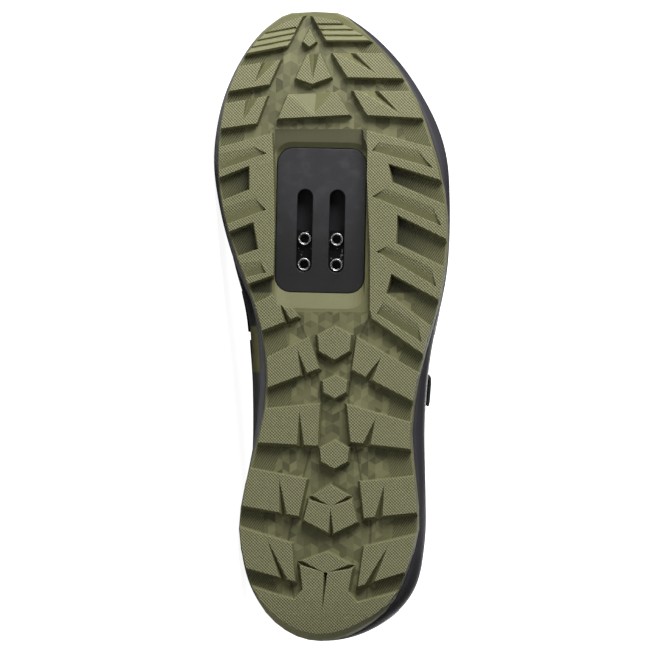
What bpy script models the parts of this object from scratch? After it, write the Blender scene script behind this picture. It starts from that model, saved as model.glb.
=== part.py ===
"""A left off-road cycling shoe for two-bolt cleats, lying on its inner side with its tread facing -Y.

Run it with: blender --background --python part.py, or from Blender's text editor.
The shoe is worked out in its own frame, and an empty then lays it on the floor:
+X to the inner side of the foot, +Y from heel to toe, +Z up from the ground that it would walk on.
Sizes are in metres. A table holds shares: along in sole lengths from the heel, across in ball widths.
"""

import math

import bmesh
import bpy
import numpy as np
from mathutils import Matrix, Vector

# Overall sizes
SOLE_LENGTH = 0.2743
BALL_WIDTH = 0.0965
TOE_SPRING = 0.0150
TOE_SPRING_START = 0.70
HEEL_ROLL = 0.0022
HEEL_ROLL_START = 0.085
CLEARANCE = 0.0003

# Outsole
LUG_HEIGHT = 0.0042
LUG_DRAFT = 0.00130
LUG_DRAFT_LEAN = 0.55
TOE_DRAFT_SHARE = 0.65
TOE_DRAFT_START = 0.74
TOE_DRAFT_LENGTH = 0.08
LUG_ROOT = 0.0015
LUG_EDGE_INSET = 0.0009
LUG_CORNER_BEND = 0.3
RUBBER_THICKNESS = 0.0030
LIP_WALL = 0.0020
LIP_HEIGHT = 0.0014
LIP_ROUNDING = 0.0008
SIDE_BULGE_SHARES = (0.35, 0.45)
TOE_BUMPER_HEIGHT = 0.0085
TOE_BUMPER_END = 0.105
HEEL_BUMPER_HEIGHT = 0.0075
HEEL_BUMPER_START = 0.865
BUMPER_FADE = 0.045
BUMPER_LEAN_FADE = 0.12
EDGE_INSET = 0.0006
BUMPER_INSET = 0.0028
BUMPER_WALL_SHARE = 0.9
NOTCH_WIDTH = 0.0034
SLIT_WIDTH = 0.0026
LONG_SLIT_WIDTH = 0.0016
TOE_NOTCH_WIDTH = 0.0050
BELL_NOTCH_WIDTH = 0.0046
WEDGE_NOTCH_WIDTH = 0.0200
NOTCH_DEPTH = 0.0038
NOTCH_REACH = 0.0030
SLIT_REACH = 0.0010
PANEL_DEPTH = 0.0013
PANEL_FRONT_DEPTH = -0.0002
RIB_PITCH = 0.0025
RIB_GROOVE_WIDTH = 0.0015
RIB_GROOVE_DEPTH = 0.0011
RIB_COUNT = 3

# Cleat plate and the threaded plate behind it
PLATE_LENGTH = 0.0623
PLATE_WIDTH = 0.0385
PLATE_CORNER = 0.0066
PLATE_ALONG = 0.6665
PLATE_ACROSS = -0.0020
PLATE_TURN = math.radians(1.3)
PLATE_RECESS = 0.0022
PLATE_FLANGE = 0.0040
PLATE_FLANGE_THICKNESS = 0.0022
FRAME_SIDE = 0.0005
FRAME_SLOPE = 0.0070
SLOT_SPACING = 0.0140
SLOT_WIDTH = 0.0068
SLOT_LENGTH = 0.0361
SLOT_SETBACK = 0.0045
SLOT_END_ROUNDNESS = 0.999
NUT_PLATE_WIDTH = 0.0270
NUT_PLATE_LENGTH = 0.0190
NUT_PLATE_THICKNESS = 0.0020
NUT_PLATE_CORNER = 0.0025
NUT_PLATE_SETBACK = 0.0136
NUT_PITCH = 0.0111
NUT_COLLAR_RADIUS = 0.0028
NUT_HOLE_RADIUS = 0.0020
NUT_COLLAR_HEIGHT = 0.0024
NUT_POCKET_LENGTH = 0.0440
NUT_POCKET_CORNER = 0.0030

# Midsole and insole
MIDSOLE_FRONT = 0.0088
MIDSOLE_HEEL = 0.0165
MIDSOLE_RAMP_START = 0.18
MIDSOLE_RAMP_LENGTH = 0.42
MIDSOLE_EDGE_ROUNDING = 0.0022
MIDSOLE_GROOVE = 0.0007
INSOLE_THICKNESS = 0.0030
INSOLE_ROUNDING_SHARE = 0.3

# Upper
UPPER_WALL = 0.0021
COLLAR_PADDING = 0.0042
PADDING_RING = (0.57, 0.66)
PADDING_HEIGHT = (0.45, 0.80)
WALL_LEAN = 0.1
FEATHER_INSET = 0.0026
COLLAR_HEIGHT = 0.1040
TONGUE_THICKNESS = 0.0032
TONGUE_GAP = 0.0010
TONGUE_RISE = 0.0200
TONGUE_LEAD = 0.0100
TONGUE_SINK = 0.0012
TONGUE_FRONT_INSET = 0.0015
TONGUE_BACK = 0.408
TONGUE_WING = (0.97, 0.88)
TONGUE_WING_BLEND = 3
TONGUE_LEAD_HEIGHT = 0.96
TONGUE_STATIONS = 10
GUARD_THICKNESS = 0.0011
GUARD_END_THICKNESS = 0.0005
GUARD_END_HEIGHT = 0.30
STRAP_THICKNESS = 0.0018
STRAP_SEAT = 0.0006
STRAP_ARCH = 0.9
STRAP_TAB_LENGTH = 0.0135
STRAP_TAB_WIDTH = 0.0130
STRAP_TAB_THICKNESS = 0.0017
STRAP_TAB_SETBACK = 0.0009

# Fineness of the shapes
EDGE_POINTS = 5
HEEL_EDGE_POINTS = 8
BEND_STATIONS = (0.02, 0.045, 0.07, 0.73, 0.77, 0.81, 0.85, 0.89, 0.93, 0.965)
COLLAR_SIDES = 18
BORE_SIDES = 16
BORE_TURN = 0.1
RING_STEPS = 36
PROFILE_STEPS = 11
GUARD_STEPS = (14, 5)
STRAP_STEPS = (5, 8)
TONGUE_STEPS = (3, 8)
INNER = 1
OUTER = -1

# Half widths of the tread from the shoe's axis, to the inner and the outer side of the foot
OUTLINE = (
    # along, inner, outer
    (1.000, 0.063, -0.063),
    (0.999, 0.143, 0.022),
    (0.985, 0.234, 0.106),
    (0.945, 0.340, 0.231),
    (0.898, 0.414, 0.343),
    (0.850, 0.460, 0.420),
    (0.802, 0.480, 0.470),
    (0.755, 0.486, 0.511),
    (0.684, 0.464, 0.549),
    (0.612, 0.406, 0.550),
    (0.541, 0.330, 0.519),
    (0.470, 0.278, 0.461),
    (0.398, 0.267, 0.412),
    (0.327, 0.302, 0.391),
    (0.255, 0.359, 0.409),
    (0.184, 0.390, 0.422),
    (0.113, 0.359, 0.371),
    (0.065, 0.304, 0.308),
    (0.018, 0.188, 0.156),
    (0.000, 0.026, -0.026),
)

# How far the midsole stands out past the tread, in shares of the ball width
FLARE = (
    # along, inner, outer
    (1.00, 0.000, 0.000),
    (0.95, 0.007, 0.019),
    (0.90, 0.010, 0.025),
    (0.86, 0.014, 0.030),
    (0.80, 0.020, 0.047),
    (0.76, 0.023, 0.042),
    (0.70, 0.015, 0.014),
    (0.65, 0.016, 0.004),
    (0.58, 0.019, 0.005),
    (0.52, 0.007, 0.006),
    (0.47, 0.027, 0.014),
    (0.42, 0.033, 0.030),
    (0.32, 0.018, 0.048),
    (0.26, 0.003, 0.039),
    (0.20, 0.002, 0.027),
    (0.15, 0.003, 0.037),
    (0.10, 0.011, 0.060),
    (0.05, 0.005, 0.040),
    (0.00, 0.002, 0.004),
)

# Lugs along the edges: where each meets the edge, its inner corners, and a notch cut into it
SIDE_LUGS = (
    # side, edge front, edge rear, front (along, reach), rear (along, reach), notch
    (INNER, 0.993, 0.933, (0.990, 0.106), (0.944, 0.171), "ribs"),
    (OUTER, 0.993, 0.955, (0.990, -0.060), (0.952, 0.002), "ribs"),
    (INNER, 0.912, 0.872, (0.921, 0.203), (0.882, 0.252), ("front", 0.70, 0.57, 0.88, 0.25)),
    (INNER, 0.852, 0.812, (0.863, 0.261), (0.820, 0.307), ("front", 0.62, 0.57, 0.88, 0.35)),
    (OUTER, 0.933, 0.893, (0.931, 0.032), (0.893, 0.099), ("front", 0.71, 0.38, 0.84, 0.70)),
    (OUTER, 0.872, 0.829, (0.871, 0.126), (0.833, 0.189), ("front", 0.69, 0.34, 0.90, 0.70)),
    (INNER, 0.534, 0.492, (0.555, 0.198), (0.515, 0.122), ("rear", 0.70, 0.82, 0.80, 0.50)),
    (INNER, 0.450, 0.403, (0.482, 0.072), (0.433, 0.027), ("rear", 0.70, 0.69, 0.82, 0.50)),
    (INNER, 0.370, 0.317, (0.377, 0.023), (0.311, 0.032), ("rear", 0.71, 0.62, 0.90, 0.50)),
    (INNER, 0.276, 0.217, (0.258, 0.081), (0.200, 0.118), ("rear", 0.72, 0.50, 0.92, 0.50)),
    (INNER, 0.182, 0.117, (0.157, 0.149), (0.097, 0.135), ("rear", 0.75, 0.49, 0.92, 0.50)),
    (OUTER, 0.425, 0.381, (0.482, 0.144), (0.431, 0.122), ("rear", 0.72, 0.56, 0.86, 0.50)),
    (OUTER, 0.347, 0.306, (0.376, 0.099), (0.317, 0.117), ("rear", 0.73, 0.52, 0.88, 0.50)),
    (OUTER, 0.263, 0.206, (0.254, 0.158), (0.197, 0.176), ("rear", 0.72, 0.53, 0.90, 0.50)),
    (OUTER, 0.170, 0.111, (0.152, 0.176), (0.089, 0.149), ("rear", 0.74, 0.48, 0.92, 0.50)),
)

# Rails on both sides of the cleat plate, with the edge lugs that grow out of them as fingers. The panel is a
# shallow dent in a finger: its tip and its shoulder
RAILS = (
    # side, inner edge (along, reach), fingers (front inside, edge front, edge rear, rear inside, panel)
    (INNER, ((0.804, 0.239), (0.761, 0.232), (0.697, 0.228), (0.618, 0.224), (0.562, 0.206)), (
        (None, 0.782, 0.734, (0.753, 0.338), ((0.772, 0.261), (0.785, 0.330))),
        ((0.715, 0.338), 0.697, 0.648, (0.664, 0.320), ((0.683, 0.264), (0.706, 0.324))),
        ((0.621, 0.298), 0.608, 0.565, (0.581, 0.228), ((0.584, 0.263), (0.605, 0.297))))),
    (OUTER, ((0.809, 0.171), (0.761, 0.185), (0.697, 0.194), (0.618, 0.203), (0.525, 0.203)), (
        (None, 0.782, 0.731, (0.756, 0.284), ((0.776, 0.211), (0.793, 0.251))),
        ((0.726, 0.302), 0.691, 0.637, (0.675, 0.325), ((0.704, 0.213), (0.719, 0.285))),
        ((0.629, 0.320), 0.592, 0.541, (0.582, 0.298), ((0.617, 0.232), (0.627, 0.287))),
        ((0.551, 0.275), 0.498, 0.455, (0.512, 0.212), ((0.519, 0.232), (0.540, 0.268))))),
)
PANEL_EDGE_END = {
    # side: front corner and rear corner, each as shares inward from the edge and back from the finger's front
    INNER: ((-0.10, 0.12), (-0.10, 0.76)),
    OUTER: ((0.27, 0.14), (0.08, 0.68)),
}

# Outlines of the blocks on the axis, in shares of their own length and width: forward, then outward
KITE = ((0.50, 0.00), (-0.22, 0.50), (-0.50, 0.00), (-0.22, -0.50))
BELL = ((0.50, -0.19), (0.50, 0.19), (-0.27, 0.50), (-0.50, -0.04), (-0.30, -0.50))
WEDGE = ((0.42, -0.37), (0.50, 0.32), (-0.36, 0.50), (-0.50, -0.50))
HEXAGON = ((0.50, 0.00), (0.24, 0.50), (-0.24, 0.45), (-0.50, 0.00), (-0.24, -0.45), (0.24, -0.50))
SHIELD = ((0.50, 0.00), (0.25, 0.39), (-0.25, 0.50), (-0.50, 0.02), (-0.21, -0.50), (0.25, -0.39))

MIDDLE_LUGS = (
    # outline, along, across to the outer side, length share, width share, notches (start, tip, width, deepest, reach)
    (KITE, 0.956, -0.074, 0.0285, 0.058, ()),
    (BELL, 0.906, -0.054, 0.0475, 0.158, (((0.50, 0.00), (-0.44, -0.03), BELL_NOTCH_WIDTH, 0.45, NOTCH_REACH),)),
    (WEDGE, 0.848, -0.050, 0.0410, 0.320, (((0.46, -0.03), (-0.42, 0.00), WEDGE_NOTCH_WIDTH, 0.58, NOTCH_REACH),)),
    (HEXAGON, 0.473, 0.043, 0.0525, 0.150, ()),
    (HEXAGON, 0.404, 0.045, 0.0365, 0.110, ()),
    (HEXAGON, 0.297, 0.043, 0.0445, 0.130, ()),
    (SHIELD, 0.210, 0.025, 0.0777, 0.240, (
        ((0.25, -0.39), (0.07, 0.00), SLIT_WIDTH, 0.5, SLIT_REACH),
        ((0.25, 0.39), (0.07, 0.02), SLIT_WIDTH, 0.5, SLIT_REACH),
        ((-0.50, 0.01), (0.06, 0.00), SLIT_WIDTH, 0.5, SLIT_REACH))),
)

# The block that wraps the back of the heel, from the outer edge to the inner edge
HEEL_BLOCK_EDGE = (0.086, 0.078)
HEEL_BLOCK = (
    # along, across to the outer side
    (0.063, 0.144),
    (0.081, 0.104),
    (0.122, 0.126),
    (0.144, 0.009),
    (0.128, -0.113),
    (0.084, -0.099),
    (0.068, -0.140),
)
HEEL_NOTCHES = (
    # start (along, across), tip (along, across), width, how far it reaches past its start
    ((0.127, -0.116), (0.111, -0.006), SLIT_WIDTH, SLIT_REACH),
    ((0.121, 0.128), (0.111, 0.014), SLIT_WIDTH, SLIT_REACH),
    ((0.111, 0.004), (0.044, -0.014), LONG_SLIT_WIDTH, 0.0),
)

# The edge of the opening: throat, collar and heel. Across is from the shoe's axis, up in collar heights
OPENING = (
    # ring share, along, inner across, outer across, up inner, up outer
    (0.00, 0.668, 0.012, -0.012, 0.655, 0.655),
    (0.10, 0.666, 0.056, 0.036, 0.656, 0.654),
    (0.20, 0.659, 0.102, 0.084, 0.660, 0.656),
    (0.30, 0.638, 0.140, 0.126, 0.678, 0.670),
    (0.40, 0.592, 0.160, 0.146, 0.730, 0.722),
    (0.45, 0.550, 0.170, 0.156, 0.788, 0.780),
    (0.50, 0.502, 0.178, 0.166, 0.860, 0.850),
    (0.55, 0.448, 0.186, 0.176, 0.945, 0.930),
    (0.59, 0.404, 0.206, 0.200, 1.000, 0.980),
    (0.64, 0.348, 0.262, 0.262, 0.955, 0.930),
    (0.70, 0.270, 0.302, 0.312, 0.850, 0.815),
    (0.76, 0.190, 0.306, 0.320, 0.800, 0.765),
    (0.83, 0.116, 0.272, 0.286, 0.815, 0.790),
    (0.91, 0.060, 0.176, 0.184, 0.880, 0.870),
    (1.00, 0.040, 0.010, -0.010, 0.920, 0.920),
)

# How the wall of the upper leaves the sole and reaches the opening, in shares of the collar height
WALL_SHAPE = (
    # ring share, rise, drop, spread, swell inner, swell outer
    (0.00, 0.250, 0.080, 0.430, 0.012, 0.012),
    (0.15, 0.240, 0.080, 0.370, 0.050, 0.050),
    (0.30, 0.215, 0.062, 0.260, 0.080, 0.085),
    (0.40, 0.235, 0.082, 0.215, 0.085, 0.090),
    (0.50, 0.270, 0.155, 0.165, 0.140, 0.090),
    (0.58, 0.290, 0.225, 0.105, 0.155, 0.095),
    (0.66, 0.255, 0.235, 0.045, 0.060, 0.075),
    (0.76, 0.190, 0.190, 0.025, 0.040, 0.068),
    (0.86, 0.190, 0.200, 0.020, 0.055, 0.074),
    (1.00, 0.210, 0.230, 0.030, 0.062, 0.062),
)

# The side of the midsole, from the outsole's lip to the upper
MIDSOLE_PROFILE = (
    # height share, flare share, inset
    (0.00, 0.25, 0.0),
    (0.30, 0.85, 0.0),
    (0.52, 1.00, 0.0),
    (0.60, 1.00, MIDSOLE_GROOVE),
    (0.70, 1.00, MIDSOLE_GROOVE / 3),
    (0.88, 1.00, MIDSOLE_EDGE_ROUNDING * 0.35),
    (1.00, 1.00, MIDSOLE_EDGE_ROUNDING),
)

# Guards over the toe and the heel. Their ends are shares round the upper, low and high are shares of its height
GUARDS = (
    # name, at the toe, inner end, outer end, low, high
    ("toe_guard", True, 0.27, 0.25, 0.03, 0.46),
    ("heel_counter", False, 0.27, 0.15, 0.03, 0.52),
)

# The top of the tongue, above the collar
TONGUE_TOP = (
    # rise share, width share
    (0.35, 0.95),
    (0.72, 0.87),
    (1.00, 0.71),
)

# Straps, each a band across the throat
STRAPS = (
    # name, along, width, inner end, outer end, how far the outer side leans towards the toe
    ("strap_front", 0.618, 0.0185, 0.52, 0.40, 0.004),
    ("strap_middle", 0.524, 0.0185, 0.50, 0.38, -0.002),
    ("strap_instep", 0.434, 0.0240, 0.52, 0.42, -0.015),
)
STRAP_WIDTH_SHARES = (-0.5, -0.25, 0.0, 0.25, 0.5)
STRAP_TAB_WIDTH_SHARES = (
    # share, thickness share
    (-0.5, 0.6),
    (-0.4, 1.0),
    (0.0, 1.0),
    (0.4, 1.0),
    (0.5, 0.6),
)
STRAP_TAB_LENGTH_SHARES = (
    # share, thickness share
    (0.00, 0.7),
    (0.25, 1.0),
    (0.50, 1.0),
    (0.75, 1.0),
    (1.00, 0.7),
)

COLOURS = {
    # name: (colour, roughness, metallic)
    "olive_rubber": ((0.120, 0.125, 0.050), 0.62, 0.0),
    "charcoal_foam": ((0.045, 0.043, 0.050), 0.58, 0.0),
    "black_nylon": ((0.030, 0.030, 0.033), 0.45, 0.0),
    "steel": ((0.100, 0.100, 0.110), 0.35, 0.9),
    "black_synthetic": ((0.040, 0.039, 0.043), 0.55, 0.0),
    "guard_film": ((0.022, 0.022, 0.024), 0.40, 0.0),
    "padded_mesh": ((0.028, 0.028, 0.031), 0.85, 0.0),
    "webbing": ((0.020, 0.020, 0.022), 0.75, 0.0),
    "tab_rubber": ((0.110, 0.110, 0.115), 0.50, 0.0),
    "footbed_cloth": ((0.050, 0.052, 0.050), 0.90, 0.0),
}


def clear_scene():
    for obj in list(bpy.data.objects):
        bpy.data.objects.remove(obj, do_unlink=True)


def material(name):
    made = bpy.data.materials.get(name) or bpy.data.materials.new(name)
    made.use_nodes = True
    colour, roughness, metallic = COLOURS[name]
    shader = made.node_tree.nodes["Principled BSDF"]
    shader.inputs["Base Color"].default_value = (*colour, 1.0)
    shader.inputs["Roughness"].default_value = roughness
    shader.inputs["Metallic"].default_value = metallic
    return made


def ease(value):
    """0 below 0, 1 above 1, and a smooth step between."""
    value = min(1.0, max(0.0, value))
    return value * value * (3.0 - 2.0 * value)


def column(rows, index, at):
    """A smooth curve through one column of a table, read at a value of its first column."""
    ordered = sorted(rows, key=lambda row: row[0])
    keys = np.array([row[0] for row in ordered], float)
    values = np.array([row[index] for row in ordered], float)
    slopes = np.gradient(values, keys)
    at = min(max(at, keys[0]), keys[-1])
    i = int(np.clip(np.searchsorted(keys, at) - 1, 0, len(keys) - 2))
    span = keys[i + 1] - keys[i]
    t = (at - keys[i]) / span
    start = (2 * t**3 - 3 * t**2 + 1) * values[i] + (t**3 - 2 * t**2 + t) * span * slopes[i]
    end = (3 * t**2 - 2 * t**3) * values[i + 1] + (t**3 - t**2) * span * slopes[i + 1]
    return float(start + end)


def ring_share(along):
    """0 at the toe and 1 at the heel, even round both ends, where the outline turns across the foot."""
    return math.acos(min(1.0, max(-1.0, 2.0 * along - 1.0))) / math.pi


def along_share(ring):
    return 0.5 * (1.0 + math.cos(math.pi * ring))


# A small step round the outline, for its direction
RING_STEP = 0.002
OUTLINE_BY_RING = tuple((ring_share(row[0]), *row) for row in OUTLINE)


def outline_xy(side, ring, grow=0.0):
    """A point of the tread's outline, moved outwards by grow."""

    def on_line(at):
        half = column(OUTLINE_BY_RING, 2 if side == INNER else 3, at)
        return Vector((side * half * BALL_WIDTH, along_share(at) * SOLE_LENGTH))

    tangent = on_line(min(1.0, ring + RING_STEP)) - on_line(max(0.0, ring - RING_STEP))
    if ring < RING_STEP or ring > 1.0 - RING_STEP:
        tangent = Vector((side if ring < RING_STEP else -side, 0.0))
    outward = side * Vector((-tangent.y, tangent.x)).normalized()
    return on_line(ring) + outward * grow


def ground_z(y):
    """Height of the lugs' tread: flat under the ball and heel, and rising at both ends."""
    toe = max(0.0, (y / SOLE_LENGTH - TOE_SPRING_START) / (1.0 - TOE_SPRING_START))
    heel = max(0.0, 1.0 - y / SOLE_LENGTH / HEEL_ROLL_START)
    return TOE_SPRING * toe**2 + HEEL_ROLL * heel**2


def floor_z(y):
    return ground_z(y) + LUG_HEIGHT


def rubber_top_z(y):
    return floor_z(y) + RUBBER_THICKNESS


def midsole_top_z(y):
    heel = ease(1.0 - (y / SOLE_LENGTH - MIDSOLE_RAMP_START) / MIDSOLE_RAMP_LENGTH)
    return rubber_top_z(y) + CLEARANCE + MIDSOLE_FRONT + (MIDSOLE_HEEL - MIDSOLE_FRONT) * heel


def bumper(ring):
    """1 at the toe and heel bumpers, 0 along the sides."""
    return ease((TOE_BUMPER_END - ring) / BUMPER_FADE), ease((ring - HEEL_BUMPER_START) / BUMPER_FADE)


def lip_height(ring):
    toe, heel = bumper(ring)
    return LIP_HEIGHT + (TOE_BUMPER_HEIGHT - LIP_HEIGHT) * toe + (HEEL_BUMPER_HEIGHT - LIP_HEIGHT) * heel


def edge_inset(ring):
    """How far the tread's lower edge lies inside the outline: more at the bumpers, which lean out."""
    toe = ease((TOE_BUMPER_END - ring) / BUMPER_LEAN_FADE + 0.5)
    heel = ease((ring - HEEL_BUMPER_START) / BUMPER_LEAN_FADE + 0.5)
    return EDGE_INSET + BUMPER_INSET * max(toe, heel)


def lip_wall(ring):
    """How far inside the outline the midsole's seat begins."""
    return LIP_WALL + BUMPER_WALL_SHARE * (edge_inset(ring) - EDGE_INSET)


def flare(side, ring):
    return column(FLARE, 1 if side == INNER else 2, along_share(ring)) * BALL_WIDTH


def ring_of(steps):
    """Side and share of each point round the shoe: down the inner side from the toe, and back."""
    down = [(INNER, j / steps) for j in range(steps + 1)]
    return down + [(OUTER, j / steps) for j in range(steps - 1, 0, -1)]


def loop(grow, height, steps=RING_STEPS):
    """A closed loop round the shoe. grow and height are functions of side, share and y."""
    points = []
    for side, ring in ring_of(steps):
        flat = outline_xy(side, ring, grow(side, ring))
        points.append(Vector((flat.x, flat.y, height(side, ring, flat.y))))
    return points


def new_object(name, mesh, surface, smooth_angle=35.0):
    obj = bpy.data.objects.new(name, mesh)
    bpy.context.scene.collection.objects.link(obj)
    mesh.materials.append(material(surface))
    mesh.shade_smooth()
    mesh.set_sharp_from_angle(angle=math.radians(smooth_angle))
    return obj


def mesh_of(name, points, faces, split=False):
    """A closed mesh with its faces pointing out, split into triangles if asked."""
    built = bmesh.new()
    corners = [built.verts.new(point) for point in points]
    for face in faces:
        built.faces.new([corners[i] for i in face])
    if split:
        bmesh.ops.triangulate(built, faces=built.faces[:])
    return finished(name, built)


def finished(name, built):
    """The mesh of a bmesh, with its faces pointing out."""
    bmesh.ops.recalc_face_normals(built, faces=built.faces[:])
    mesh = bpy.data.meshes.new(name)
    built.to_mesh(mesh)
    built.free()
    return mesh


def ladder(first, count, flip=False):
    """Faces across a loop of count points, from its inner-side half to its outer-side half."""
    half = count // 2
    rungs = [(first + j, first + (count - j) % count) for j in range(half + 1)]
    faces = [(rungs[0][0], rungs[1][0], rungs[1][1])]
    for a, b in zip(rungs[1:-2], rungs[2:-1]):
        faces.append((a[0], b[0], b[1], a[1]))
    faces.append((rungs[-2][0], rungs[-1][0], rungs[-2][1]))
    return faces


def stack_of_loops(name, loops):
    """A solid whose side runs through the loops and whose ends are closed straight across."""
    count = len(loops[0])
    points = [point for ring in loops for point in ring]
    faces = ladder(0, count) + ladder(count * (len(loops) - 1), count)
    for level in range(len(loops) - 1):
        for i in range(count):
            j = (i + 1) % count
            low, high = level * count, (level + 1) * count
            faces.append((low + i, low + j, high + j, high + i))
    return mesh_of(name, points, faces)


def helper(name, mesh):
    """An object that only cuts or joins, and is no part of the shoe."""
    obj = bpy.data.objects.new(name, mesh)
    bpy.context.scene.collection.objects.link(obj)
    obj.hide_render = True
    obj.display_type = "WIRE"
    return obj


def boolean(target, other, operation, overlapping=False):
    modifier = target.modifiers.new(f"{operation.lower()}_{other.name}", "BOOLEAN")
    modifier.operation = operation
    modifier.solver = "EXACT"
    modifier.use_self = overlapping
    modifier.object = other


def tread_xy(along, across):
    """A place on the tread, with across counted to the outer side of the foot."""
    return Vector((-across * BALL_WIDTH, along * SOLE_LENGTH))


def lug_draft(y):
    """How much wider a lug's root is than its tread: less at the toe."""
    toe = ease((y / SOLE_LENGTH - TOE_DRAFT_START) / TOE_DRAFT_LENGTH)
    return LUG_DRAFT * (1.0 - (1.0 - TOE_DRAFT_SHARE) * toe)


def root_of(polygon, edge_runs):
    """The polygon at a lug's root: wider than its tread, most of all to the rear.

    Each edge run is a range of points on the tread's edge. They slide along it and move out to the rubber's side.
    """
    count = len(polygon)
    area = sum(polygon[i].cross(polygon[(i + 1) % count]) for i in range(count))
    turn = 1.0 if area > 0.0 else -1.0
    normals = []
    for i in range(count):
        run = (polygon[(i + 1) % count] - polygon[i]).normalized()
        normals.append(turn * Vector((run.y, -run.x)))
    root = []
    for i, point in enumerate(polygon):
        before, after = normals[i - 1], normals[i]
        draft = lug_draft(point.y)
        grow_before, grow_after = (draft * (1.0 - LUG_DRAFT_LEAN * n.y) for n in (before, after))
        bend = before.cross(after)
        if abs(bend) > LUG_CORNER_BEND:
            move = Vector((
                grow_before * after.y - grow_after * before.y,
                grow_after * before.x - grow_before * after.x,
            )) / bend
        else:
            move = (before + after).normalized() * (grow_before + grow_after) / 2
        if move.length > 2 * LUG_DRAFT:
            move = move.normalized() * 2 * LUG_DRAFT
        root.append(point + move)
    for first, last in edge_runs:
        for i in range(first, last + 1):
            along = (polygon[min(i + 1, last)] - polygon[max(i - 1, first)]).normalized()
            out = turn * Vector((along.y, -along.x))
            slide = along * (root[i] - polygon[i]).dot(along)
            root[i] = polygon[i] + slide + out * (LUG_EDGE_INSET - EDGE_INSET)
    return root


def add_lug(built, polygon, edge_runs=()):
    """A block of rubber from the ground up into the outsole, bent to the tread's curve."""
    root = root_of(polygon, edge_runs)
    block = bmesh.new()
    low = [block.verts.new((p.x, p.y, 0.0)) for p in polygon]
    high = [block.verts.new((p.x, p.y, LUG_HEIGHT + LUG_ROOT)) for p in root]
    block.faces.new(low)
    block.faces.new(high)
    for i in range(len(low)):
        j = (i + 1) % len(low)
        block.faces.new((low[i], low[j], high[j], high[i]))
    for station in BEND_STATIONS:
        bmesh.ops.bisect_plane(
            block,
            geom=block.verts[:] + block.edges[:] + block.faces[:],
            dist=1e-6,
            plane_co=(0.0, station * SOLE_LENGTH, 0.0),
            plane_no=(0.0, 1.0, 0.0),
        )
    for vertex in block.verts:
        vertex.co.z += ground_z(vertex.co.y)
    bmesh.ops.triangulate(block, faces=block.faces[:])
    bmesh.ops.recalc_face_normals(block, faces=block.faces[:])
    mesh = bpy.data.meshes.new("lug")
    block.to_mesh(mesh)
    block.free()
    built.from_mesh(mesh)
    bpy.data.meshes.remove(mesh)


def add_cutter(built, low, high):
    """A closed cutter between a lower and an upper list of points, with equal counts."""
    first = [built.verts.new(p) for p in low]
    second = [built.verts.new(p) for p in high]
    faces = [built.faces.new(first), built.faces.new(second)]
    for i in range(len(first)):
        j = (i + 1) % len(first)
        faces.append(built.faces.new((first[i], first[j], second[j], second[i])))
    bmesh.ops.triangulate(built, faces=[f for f in faces if len(f.verts) > 3])


def add_notch(built, start, tip, width, deep_at, reach_past):
    """A groove of V section: wide and deep where it enters the lug, and running out at its tip."""
    forward = tip - start
    aside = Vector((-forward.y, forward.x)).normalized()
    if (aside.x > 0.0) == (forward.y > 0.0):
        aside = -aside
    ends = [start + aside * width / 2, start - aside * width / 2]
    deep = ends[0].lerp(ends[1], deep_at)
    corners = [Vector((p.x, p.y, ground_z(p.y))) for p in (*ends, tip)]
    bottom = Vector((deep.x, deep.y, ground_z(deep.y) + NOTCH_DEPTH))
    longer = (forward.length + reach_past) / forward.length
    corners[0] = corners[2] + (corners[0] - corners[2]) * longer
    corners[1] = corners[2] + (corners[1] - corners[2]) * longer
    bottom = corners[2] + (bottom - corners[2]) * longer
    past_ground = (NOTCH_DEPTH + LUG_HEIGHT / 4) / NOTCH_DEPTH
    corners = [bottom + (p - bottom) * past_ground for p in corners]
    verts = [built.verts.new(p) for p in (*corners, bottom)]
    for face in ((0, 1, 2), (0, 1, 3), (1, 2, 3), (2, 0, 3)):
        built.faces.new([verts[i] for i in face])


def add_groove(built, start, end):
    """A long rib groove of V section along the ground."""
    run = (end - start).normalized()
    aside = Vector((-run.y, run.x))
    below = RIB_GROOVE_DEPTH / 2
    half = RIB_GROOVE_WIDTH / 2 * (RIB_GROOVE_DEPTH + below) / RIB_GROOVE_DEPTH
    rows = []
    for p in (start, end):
        ground = ground_z(p.y)
        rows.append([
            Vector((*(p + aside * half), ground - below)),
            Vector((*(p - aside * half), ground - below)),
            Vector((*p, ground + RIB_GROOVE_DEPTH)),
        ])
    add_cutter(built, rows[0], rows[1])


def edge_points(side, front, rear, count=EDGE_POINTS):
    """Points on the tread's edge from a front to a rear station, just inside the rubber's side."""
    first, last = ring_share(front), ring_share(rear)
    rings = [first + (last - first) * i / (count - 1) for i in range(count)]
    return [outline_xy(side, ring, -(edge_inset(ring) - EDGE_INSET + LUG_EDGE_INSET)) for ring in rings]


def side_lug_shape(row):
    """The lug's outline, and its four corners: front edge, front inside, rear inside, rear edge."""
    side, front, rear, inside_front, inside_rear, _ = row
    edge = edge_points(side, front, rear)
    across = -side
    corner_front = tread_xy(inside_front[0], across * inside_front[1])
    corner_rear = tread_xy(inside_rear[0], across * inside_rear[1])
    return edge + [corner_rear, corner_front], (edge[0], corner_front, corner_rear, edge[-1])


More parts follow.
